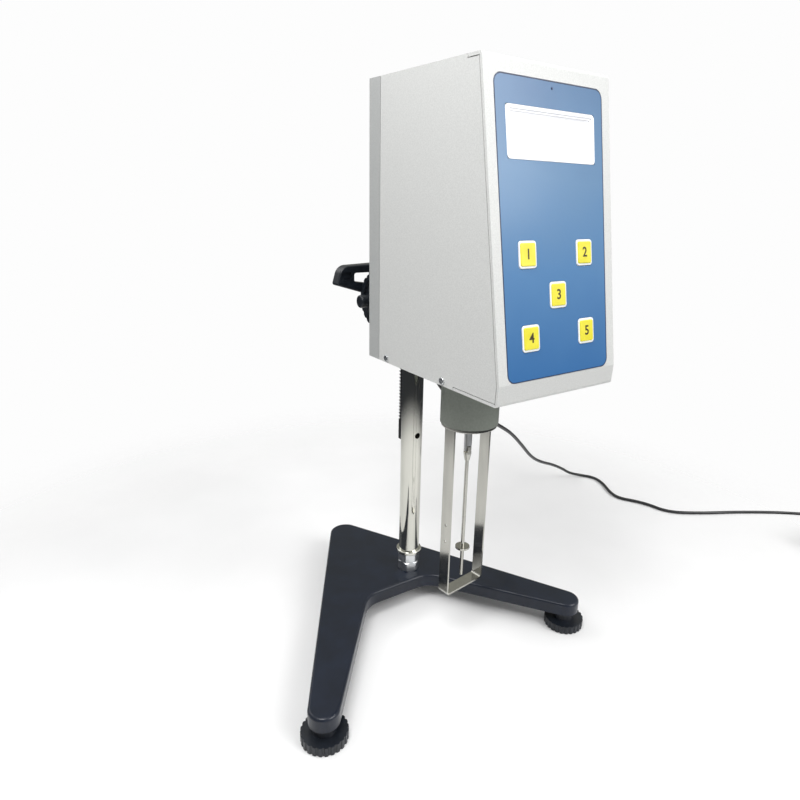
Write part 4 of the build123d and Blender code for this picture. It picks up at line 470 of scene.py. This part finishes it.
# %% From spline to tube
def smooth_line(points):
    """The points of a third-order NURBS spline through a route, as it is evaluated."""
    curve = bpy.data.curves.new("route", "CURVE")
    curve.dimensions = "3D"
    curve.resolution_u = 6
    spline = curve.splines.new("NURBS")
    spline.points.add(len(points) - 1)
    for point, at in zip(spline.points, points):
        point.co = (*place(*at), 1.0)
    spline.order_u = 3
    spline.use_endpoint_u = True
    holder = bpy.data.objects.new("route", curve)
    bpy.context.scene.collection.objects.link(holder)
    bpy.context.view_layer.update()
    mesh = bpy.data.meshes.new_from_object(holder.evaluated_get(bpy.context.evaluated_depsgraph_get()))
    line = [v.co.copy() for v in mesh.vertices]
    bpy.data.objects.remove(holder)
    bpy.data.meshes.remove(mesh)
    return line


def finish_piece(name, mesh, material, body, smooth=True):
    """Make an object of a mesh, give it its finish and let it ride on a body."""
    mesh.materials.clear()
    mesh.materials.append(material)
    mesh.shade_smooth() if smooth else mesh.shade_flat()
    piece = bpy.data.objects.new(name, mesh)
    bpy.context.scene.collection.objects.link(piece)
    if body:
        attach(piece, body)
    return piece


def tube_mesh(name, line, radius, sides=12):
    """A closed tube round a line."""
    form = bmesh.new()
    side = (line[1] - line[0]).orthogonal().normalized()
    rings = []
    for i, at in enumerate(line):
        along = (line[min(i + 1, len(line) - 1)] - line[max(i - 1, 0)]).normalized()
        side = (side - along * side.dot(along)).normalized()
        other = along.cross(side)
        rings.append([form.verts.new(at + (side * cos(a) + other * sin(a)) * radius)
                      for a in (2 * pi * k / sides for k in range(sides))])
    for one, two in zip(rings, rings[1:]):
        for k in range(sides):
            form.faces.new((one[k], one[(k + 1) % sides], two[(k + 1) % sides], two[k]))
    form.faces.new(reversed(rings[0]))
    form.faces.new(rings[-1])
    mesh = bpy.data.meshes.new(name)
    form.to_mesh(mesh)
    form.free()
    return mesh


lead_line = smooth_line(LEAD_ROUTE + coil_points)
lead_length = sum((b - a).length for a, b in zip(lead_line, lead_line[1:]))
lead = finish_piece("power_lead", tube_mesh("power_lead", lead_line, LEAD_RADIUS * MM), sheath, None)
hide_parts("lead_drop", "lead_run", "lead_coil")
print("lead", round(lead_length, 3), "m")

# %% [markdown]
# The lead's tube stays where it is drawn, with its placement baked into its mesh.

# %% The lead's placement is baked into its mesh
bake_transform(lead)

# %% [markdown]
# **Plates with rounded corners.** Keys, borders and the display's frame are all flat shapes with rounded
# corners. One function gives the outline, and another builds a solid band or plate from a stack of outlines:
# each is joined to the next by a strip of faces, so a sloping or stepped edge is only one more outline.

# %% Rounded outlines and stacked plates
CORNER_STEPS = 6


def rounded(width, height, radius):
    """Points round a rectangle with rounded corners, anticlockwise, in millimetres."""
    points = []
    for corner, (sx, sy) in enumerate(((1, 1), (-1, 1), (-1, -1), (1, -1))):
        for i in range(CORNER_STEPS + 1):
            a = pi / 2 * (corner + i / CORNER_STEPS)
            points.append((sx * (width / 2 - radius) + radius * cos(a),
                           sy * (height / 2 - radius) + radius * sin(a)))
    return points


def stacked(name, levels, matrix, ring=False):
    """A closed solid from (outline, height in mm) levels; a ring joins its last level to its first."""
    form = bmesh.new()
    loops = [[form.verts.new((x * MM, y * MM, z * MM)) for x, y in outline] for outline, z in levels]
    pairs = list(zip(loops, loops[1:])) + ([(loops[-1], loops[0])] if ring else [])
    for one, two in pairs:
        for k in range(len(one)):
            n = (k + 1) % len(one)
            form.faces.new((one[k], one[n], two[n], two[k]))
    if not ring:
        form.faces.new(reversed(loops[0]))
        form.faces.new(loops[-1])
    bmesh.ops.recalc_face_normals(form, faces=form.faces)
    form.transform(matrix)
    mesh = bpy.data.meshes.new(name)
    form.to_mesh(mesh)
    form.free()
    return mesh


# %% [markdown]
# **Keys.** Each key is a yellow field in a white surround that stands slightly proud of the panel. The yellow
# cap is its own piece and moves with its key. The rim's small slope catches the light.

# %% Key caps
KEY_PLACES = [(-26.4, 115.1), (26.4, 115.1), (0.0, 141.6), (-26.4, 167.7), (26.4, 167.7)]
KEY_PROUD = 0.5
CAP_WIDTH, CAP_HEIGHT, CAP_CORNER = 13.2, 14.4, 1.2
CAP_SINK = -0.1                 # underside of the cap, a little inside the key
CAP_EDGE = 0.12                 # where its upright edge turns into the slope
CAP_RISE = 0.55                 # and its top
CAP_SLOPE, CAP_CORNER_LESS = 0.9, 0.3   # the top's loss in width and in corner radius
cap_foot = rounded(CAP_WIDTH, CAP_HEIGHT, CAP_CORNER)
cap_top = rounded(CAP_WIDTH - CAP_SLOPE, CAP_HEIGHT - CAP_SLOPE, CAP_CORNER - CAP_CORNER_LESS)
for number, (x, s) in enumerate(KEY_PLACES, 1):
    levels = [(cap_foot, CAP_SINK), (cap_foot, CAP_EDGE), (cap_top, CAP_RISE)]
    mesh = stacked(f"key_cap_{number}", levels, front_matrix(x, s, KEY_PROUD))
    finish_piece(f"key_cap_{number}", mesh, key_yellow, f"key_{number}", smooth=False)
print("key caps", len(KEY_PLACES))

# %% [markdown]
# The numbers are printed in dark ink. Text starts as a curve, so it is turned into a mesh first and then
# moved to its key. It stands a hair above the yellow film, as ink does, only thicker so that it doesn't
# flicker.

# %% Numbers on the keys
STROKE_SHARE = 50               # each stroke grows by the size over this, which makes it bolder


def flat_text(name, words, size_mm, thick_mm, matrix):
    """Text as a mesh, centred on its place."""
    curve = bpy.data.curves.new(name, "FONT")
    curve.body = words
    curve.size = size_mm * MM
    curve.extrude = thick_mm * MM / 2
    curve.offset = size_mm * MM / STROKE_SHARE
    curve.align_x = "CENTER"
    curve.align_y = "CENTER"
    curve.resolution_u = 4
    holder = bpy.data.objects.new(name + "_curve", curve)
    bpy.context.scene.collection.objects.link(holder)
    bpy.context.view_layer.update()
    mesh = bpy.data.meshes.new_from_object(holder.evaluated_get(bpy.context.evaluated_depsgraph_get()))
    bpy.data.objects.remove(holder)
    mesh.name = name
    mesh.transform(matrix)
    return mesh


NUMBER_SIZE, NUMBER_THICK = 9.0, 0.06
NUMBER_LIFT = 0.03              # middle of the ink above the cap
for number, (x, s) in enumerate(KEY_PLACES, 1):
    mesh = flat_text(f"key_number_{number}", str(number), NUMBER_SIZE, NUMBER_THICK,
                     front_matrix(x, s, KEY_PROUD + CAP_RISE + NUMBER_LIFT))
    finish_piece(f"key_number_{number}", mesh, number_ink, f"key_{number}", smooth=False)

# %% [markdown]
# ** Panel edge line.** A fine navy line runs round the panel, just inside the film's cut edge. It is painted
# shade, standing in for the shadow along the panel's recessed edge.

# %% Panel edge line (painted shade)
PANEL_WIDTH, PANEL_TOP, PANEL_BOTTOM, PANEL_CORNER = 95.8, 10.2, 194.8, 6.0
panel_height = PANEL_BOTTOM - PANEL_TOP
panel_middle = (PANEL_TOP + PANEL_BOTTOM) / 2
LINE_WIDTH = 0.55
LINE_SINK, LINE_RISE = -0.1, 0.06   # the line's underside and top, from the panel
outer = rounded(PANEL_WIDTH, panel_height, PANEL_CORNER)
inner = rounded(PANEL_WIDTH - 2 * LINE_WIDTH, panel_height - 2 * LINE_WIDTH, PANEL_CORNER - LINE_WIDTH)
levels = [(outer, LINE_SINK), (outer, LINE_RISE), (inner, LINE_RISE), (inner, LINE_SINK)]
mesh = stacked("panel_edge_shade_line", levels, front_matrix(0, panel_middle, 0), ring=True)
finish_piece("panel_edge_shade_line", mesh, navy_ink_and_edge_shade, "carriage", smooth=False)

# %% [markdown]
# **Display.** It sits behind a white acrylic frame whose wall steps down to the resting display. Those steps
# are what shows as fine lines along the window's upper and right edges. The frame takes the place of the
# plain window of the engineering model.

# %% Display frame and field
WINDOW_WIDTH, WINDOW_TOP, WINDOW_BOTTOM, WINDOW_CORNER = 79.4, 26.8, 58.1, 2.6
window_height = WINDOW_BOTTOM - WINDOW_TOP
window_middle = (WINDOW_TOP + WINDOW_BOTTOM) / 2
WINDOW_BACK = -1.05             # how deep the frame reaches
# from the outside in: each step's distance from the window's edge, and its height
FRAME_STEPS = [(0.0, WINDOW_BACK), (0.0, 0.1), (2.2, 0.1), (2.5, -0.35), (3.6, -0.35), (3.9, -0.75),
               (4.6, -0.75), (4.6, WINDOW_BACK)]
CORNER_SHARE, LEAST_CORNER = 0.4, 0.6   # how the corners tighten inwards, and their smallest radius
FIELD_LAP, FIELD_CORNER = 0.2, 0.8      # the field reaches this far under the frame
FIELD_TOP = -0.9
at_window = front_matrix(0, window_middle, 0)
levels = [(rounded(WINDOW_WIDTH - 2 * i, window_height - 2 * i,
                   max(WINDOW_CORNER - i * CORNER_SHARE, LEAST_CORNER)), z) for i, z in FRAME_STEPS]
window_frame = finish_piece("display_frame", stacked("display_frame", levels, at_window, ring=True),
                            display_frame, "carriage", smooth=False)
inset = FRAME_STEPS[-1][0] - FIELD_LAP
field_outline = rounded(WINDOW_WIDTH - 2 * inset, window_height - 2 * inset, FIELD_CORNER)
field_mesh = stacked("display_field", [(field_outline, WINDOW_BACK), (field_outline, FIELD_TOP)], at_window)
finish_piece("display_field", field_mesh, display_field, "carriage", smooth=False)
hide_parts("lcd_window")

# %% [markdown]
# **Status lamp.** A small dark dome above the display. It is a stack of circles, and a circle is a rounded
# square whose corners take up nearly its whole width.

# %% Status lamp
LAMP_PLACE, LAMP_RADIUS = (0.6, 14.5), 0.8
LAMP_LEVELS = [(1.0, -0.05), (1.0, 0.1), (0.8, 0.4), (0.3, 0.55)]   # share of the radius, and height
NEARLY_ROUND = 0.999
lamp_levels = [(rounded(2 * r, 2 * r, r * NEARLY_ROUND), z)
               for r, z in ((LAMP_RADIUS * share, z) for share, z in LAMP_LEVELS)]
lamp_mesh = stacked("status_lamp", lamp_levels, front_matrix(*LAMP_PLACE, 0))
finish_piece("status_lamp", lamp_mesh, navy_ink_and_edge_shade, "carriage")

# %% [markdown]
# **Grip ribs on the foot knobs.** The rim of each moulded foot knob has a ring of rounded ribs. They all have
# the same shape and only differ in their place on a circle, which is what Geometry Nodes are for: a circle of
# points, a stretched sphere on each, then Realize Instances so that real faces come out, and Set Material.
# The tree is built once, and each foot fills in its sizes. A foot rides on its own body, so each becomes its
# own mesh.

# %% Geometry Nodes tree for ribs on a rim
def new_tree(name, *inputs):
    """An empty geometry tree with named inputs."""
    tree = bpy.data.node_groups.new(name, "GeometryNodeTree")
    for label, kind, value in inputs:
        socket = tree.interface.new_socket(label, in_out="INPUT", socket_type=kind)
        if value is not None:
            socket.default_value = value
    tree.interface.new_socket("Geometry", in_out="OUTPUT", socket_type="NodeSocketGeometry")
    return tree, tree.nodes.new("NodeGroupInput"), tree.nodes.new("NodeGroupOutput")


rib_tree, given, out = new_tree("ribs_on_a_rim", ("Count", "NodeSocketInt", 24),
                                ("Rim Radius", "NodeSocketFloat", 0.016),
                                ("Rib Size", "NodeSocketVector", (0.0016, 0.0018, 0.0036)),
                                ("Finish", "NodeSocketMaterial", None))
rim = add(rib_tree, "GeometryNodeMeshCircle", {"Vertices": given.outputs["Count"],
                                               "Radius": given.outputs["Rim Radius"]})
spot = add(rib_tree, "GeometryNodeInputPosition")
turned = add(rib_tree, "FunctionNodeAlignRotationToVector", {"Vector": spot.outputs["Position"]}, axis="X")
rib = add(rib_tree, "GeometryNodeMeshUVSphere", {"Segments": 12, "Rings": 8, "Radius": 1.0})
placed = add(rib_tree, "GeometryNodeInstanceOnPoints",
             {"Points": rim.outputs["Mesh"], "Instance": rib.outputs["Mesh"],
              "Rotation": turned.outputs["Rotation"], "Scale": given.outputs["Rib Size"]})
real = add(rib_tree, "GeometryNodeRealizeInstances", {"Geometry": placed.outputs["Instances"]})
shaded = add(rib_tree, "GeometryNodeSetShadeSmooth", {0: real.outputs["Geometry"]})
dressed = add(rib_tree, "GeometryNodeSetMaterial", {"Geometry": shaded.outputs[0],
                                                    "Material": given.outputs["Finish"]})
rib_tree.links.new(dressed.outputs["Geometry"], out.inputs["Geometry"])


def grown(name, tree, values):
    """The mesh that a geometry tree makes with these values for its named inputs."""
    holder = bpy.data.objects.new(name, bpy.data.meshes.new(name + "_seed"))
    bpy.context.scene.collection.objects.link(holder)
    modifier = holder.modifiers.new("tree", "NODES")
    modifier.node_group = tree
    for item in tree.interface.items_tree:
        if item.in_out == "INPUT" and item.name in values:
            modifier[item.identifier] = values[item.name]
    bpy.context.view_layer.update()
    mesh = bpy.data.meshes.new_from_object(holder.evaluated_get(bpy.context.evaluated_depsgraph_get()))
    holder.modifiers.remove(modifier)
    bpy.data.objects.remove(holder)
    mesh.name = name
    return mesh


# %% [markdown]
# Each foot's ring of ribs takes its place and radius from its knob. Half a step of turning puts the ribs
# between the scallops of the solid knob.

# %% Ribs on each foot
RIB_COUNT = 24
RIB_HALF = (1.55, 1.75, 3.55)   # half of a rib's depth, width and height
RIB_MARGIN = 0.05               # the ribs stay this far inside the knob's box
KNOB_THICK = 7.4
for side in ("left", "right", "rear"):
    low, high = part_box(f"foot_knob_{side}")
    middle = (low + high) / 2
    rim_radius = (high.x - low.x) / 2 - (RIB_HALF[0] + RIB_MARGIN) * MM
    mesh = grown(f"foot_ribs_{side}", rib_tree,
                 {"Count": RIB_COUNT, "Rim Radius": rim_radius, "Rib Size": [v * MM for v in RIB_HALF],
                  "Finish": black_plastic})
    half_step = Matrix.Rotation(pi / RIB_COUNT, 4, "Z")
    mesh.transform(Matrix.Translation((middle.x, middle.y, low.z + KNOB_THICK / 2 * MM)) @ half_step)
    finish_piece(f"foot_ribs_{side}", mesh, black_plastic, f"knob_{side}")
    print("ribs on the", side, "foot:", len(mesh.polygons), "faces")

# %% [markdown]
# **Floor.** The set is a plain pale table in a bright studio. Near the instrument the floor is a real surface
# that takes a soft shadow. Further out it fades to nothing, so it meets the white surroundings without an
# edge.

# %% Floor
FADE_FROM, FADE_TO = 0.34, 0.64     # distances between which the floor fades out, in metres
FLOOR_RADIUS = 3.0
FLOOR_SINK = 0.0004                 # the floor lies a hair below the feet
floor_material, tree, shader = mottled("pale_studio_floor", 60.0, "#F1F1F1", "#F6F6F6", Roughness=0.6)
coords = add(tree, "ShaderNodeTexCoord")
flat = add(tree, "ShaderNodeVectorMath", {0: coords.outputs["Object"]}, operation="LENGTH")
far = add(tree, "ShaderNodeMapRange", {"Value": flat.outputs["Value"], "From Min": FADE_FROM,
                                       "From Max": FADE_TO}, interpolation_type="SMOOTHSTEP")
clear = add(tree, "ShaderNodeBsdfTransparent")
mixed = add(tree, "ShaderNodeMixShader", {"Fac": far.outputs["Result"], 1: shader.outputs["BSDF"],
                                          2: clear.outputs["BSDF"]})
tree.links.new(mixed.outputs["Shader"], tree.nodes["Material Output"].inputs["Surface"])
form = bmesh.new()
bmesh.ops.create_circle(form, cap_ends=True, segments=64, radius=FLOOR_RADIUS)
mesh = bpy.data.meshes.new("studio_floor")
form.to_mesh(mesh)
form.free()
mesh.materials.append(floor_material)
floor = bpy.data.objects.new("studio_floor", mesh)
floor.location = (0, 0, -FLOOR_SINK)
bpy.context.scene.collection.objects.link(floor)

# %% [markdown]
# **Surroundings.** They are three things at once, told apart by the kind of ray. To the camera they are plain
# white. As a light they are dimmer, and grow stronger with height. In reflections they are uneven. Chrome
# shows whatever stands around it, and in an evenly white room it would look like white plastic. So the
# reflected room is dark below the table's level, dim behind the instrument and in a sector at its front left,
# and bright overhead and elsewhere. Black enamel stays black in it too.

# %% Surroundings
world = bpy.data.worlds.new("studio")
bpy.context.scene.world = world
world.use_nodes = True
tree = world.node_tree
tree.nodes.clear()
coords = add(tree, "ShaderNodeTexCoord")
axis = add(tree, "ShaderNodeSeparateXYZ", {"Vector": coords.outputs["Generated"]})
compass = add(tree, "ShaderNodeMath", {0: axis.outputs["Y"], 1: axis.outputs["X"]}, operation="ARCTAN2")
share = add(tree, "ShaderNodeMapRange", {"Value": compass.outputs["Value"], "From Min": -pi, "From Max": pi})
round_about = ramp(tree, share.outputs["Result"], (0.0, "#C8C8C8"), (0.12, "#8A8C8E"), (0.25, "#F2F2F2"),
                   (0.46, "#F8F8F6"), (0.56, "#B0B0A8"), (0.62, "#A4A49C"), (0.70, "#A4A49C"),
                   (0.80, "#8C8E90"), (0.90, "#C8C8C8"))
overhead = add(tree, "ShaderNodeMapRange", {"Value": axis.outputs["Z"], "From Min": 0.55, "From Max": 0.9})
above = add(tree, "ShaderNodeMix", {"Factor": overhead.outputs["Result"], 6: round_about,
                                    7: linear("#FFFFFF")}, data_type="RGBA")
level = add(tree, "ShaderNodeMapRange", {"Value": axis.outputs["Z"], "From Min": -0.06, "From Max": 0.08})
mirrored = add(tree, "ShaderNodeMix", {"Factor": level.outputs["Result"], 6: linear("#3A3C40"),
                                       7: above.outputs[2]}, data_type="RGBA")
lit = add(tree, "ShaderNodeMapRange", {"Value": axis.outputs["Z"], "From Min": -0.1, "From Max": 0.9,
                                       "To Min": 0.2, "To Max": 0.62})
light_rays = add(tree, "ShaderNodeBackground", {"Color": linear("#FFFFFF"),
                                                "Strength": lit.outputs["Result"]})
seen = add(tree, "ShaderNodeBackground", {"Color": linear("#FDFDFD"), "Strength": 1.0})
glossy = add(tree, "ShaderNodeBackground", {"Color": mirrored.outputs[2], "Strength": 1.0})
path = add(tree, "ShaderNodeLightPath")
direct = add(tree, "ShaderNodeMath", {0: path.outputs["Is Camera Ray"],
                                      1: path.outputs["Is Transmission Ray"]}, operation="MAXIMUM")
first = add(tree, "ShaderNodeMixShader", {"Fac": path.outputs["Is Glossy Ray"],
                                          1: light_rays.outputs["Background"],
                                          2: glossy.outputs["Background"]})
second = add(tree, "ShaderNodeMixShader", {"Fac": direct.outputs["Value"], 1: first.outputs["Shader"],
                                           2: seen.outputs["Background"]})
add(tree, "ShaderNodeOutputWorld", {"Surface": second.outputs["Shader"]})
bpy.context.scene.view_settings.view_transform = "Standard"


# %% [markdown]
# **Lamps.** A broad lamp from the upper front right is the main light. A small one above the left front
# brightens the side of the head, and a weak one from behind lifts the edges.

# %% Lamps
def soft_lamp(name, at, towards, size, watts):
    """A square lamp that points at a place."""
    lamp = bpy.data.objects.new(name, bpy.data.lights.new(name, "AREA"))
    lamp.data.size = size
    lamp.data.energy = watts
    lamp.matrix_world = Matrix.Translation(at) @ (towards - at).to_track_quat("-Z", "Y").to_matrix().to_4x4()
    bpy.context.scene.collection.objects.link(lamp)


head_middle = place(0, -90, 360)
soft_lamp("front_light", place(750, -1500, 1300), head_middle, size=1.2, watts=24)
soft_lamp("left_light", place(-360, -250, 860), place(-60, -80, 420), size=0.36, watts=3.8)
soft_lamp("back_light", place(-700, 1400, 1400), head_middle, size=1.2, watts=8)
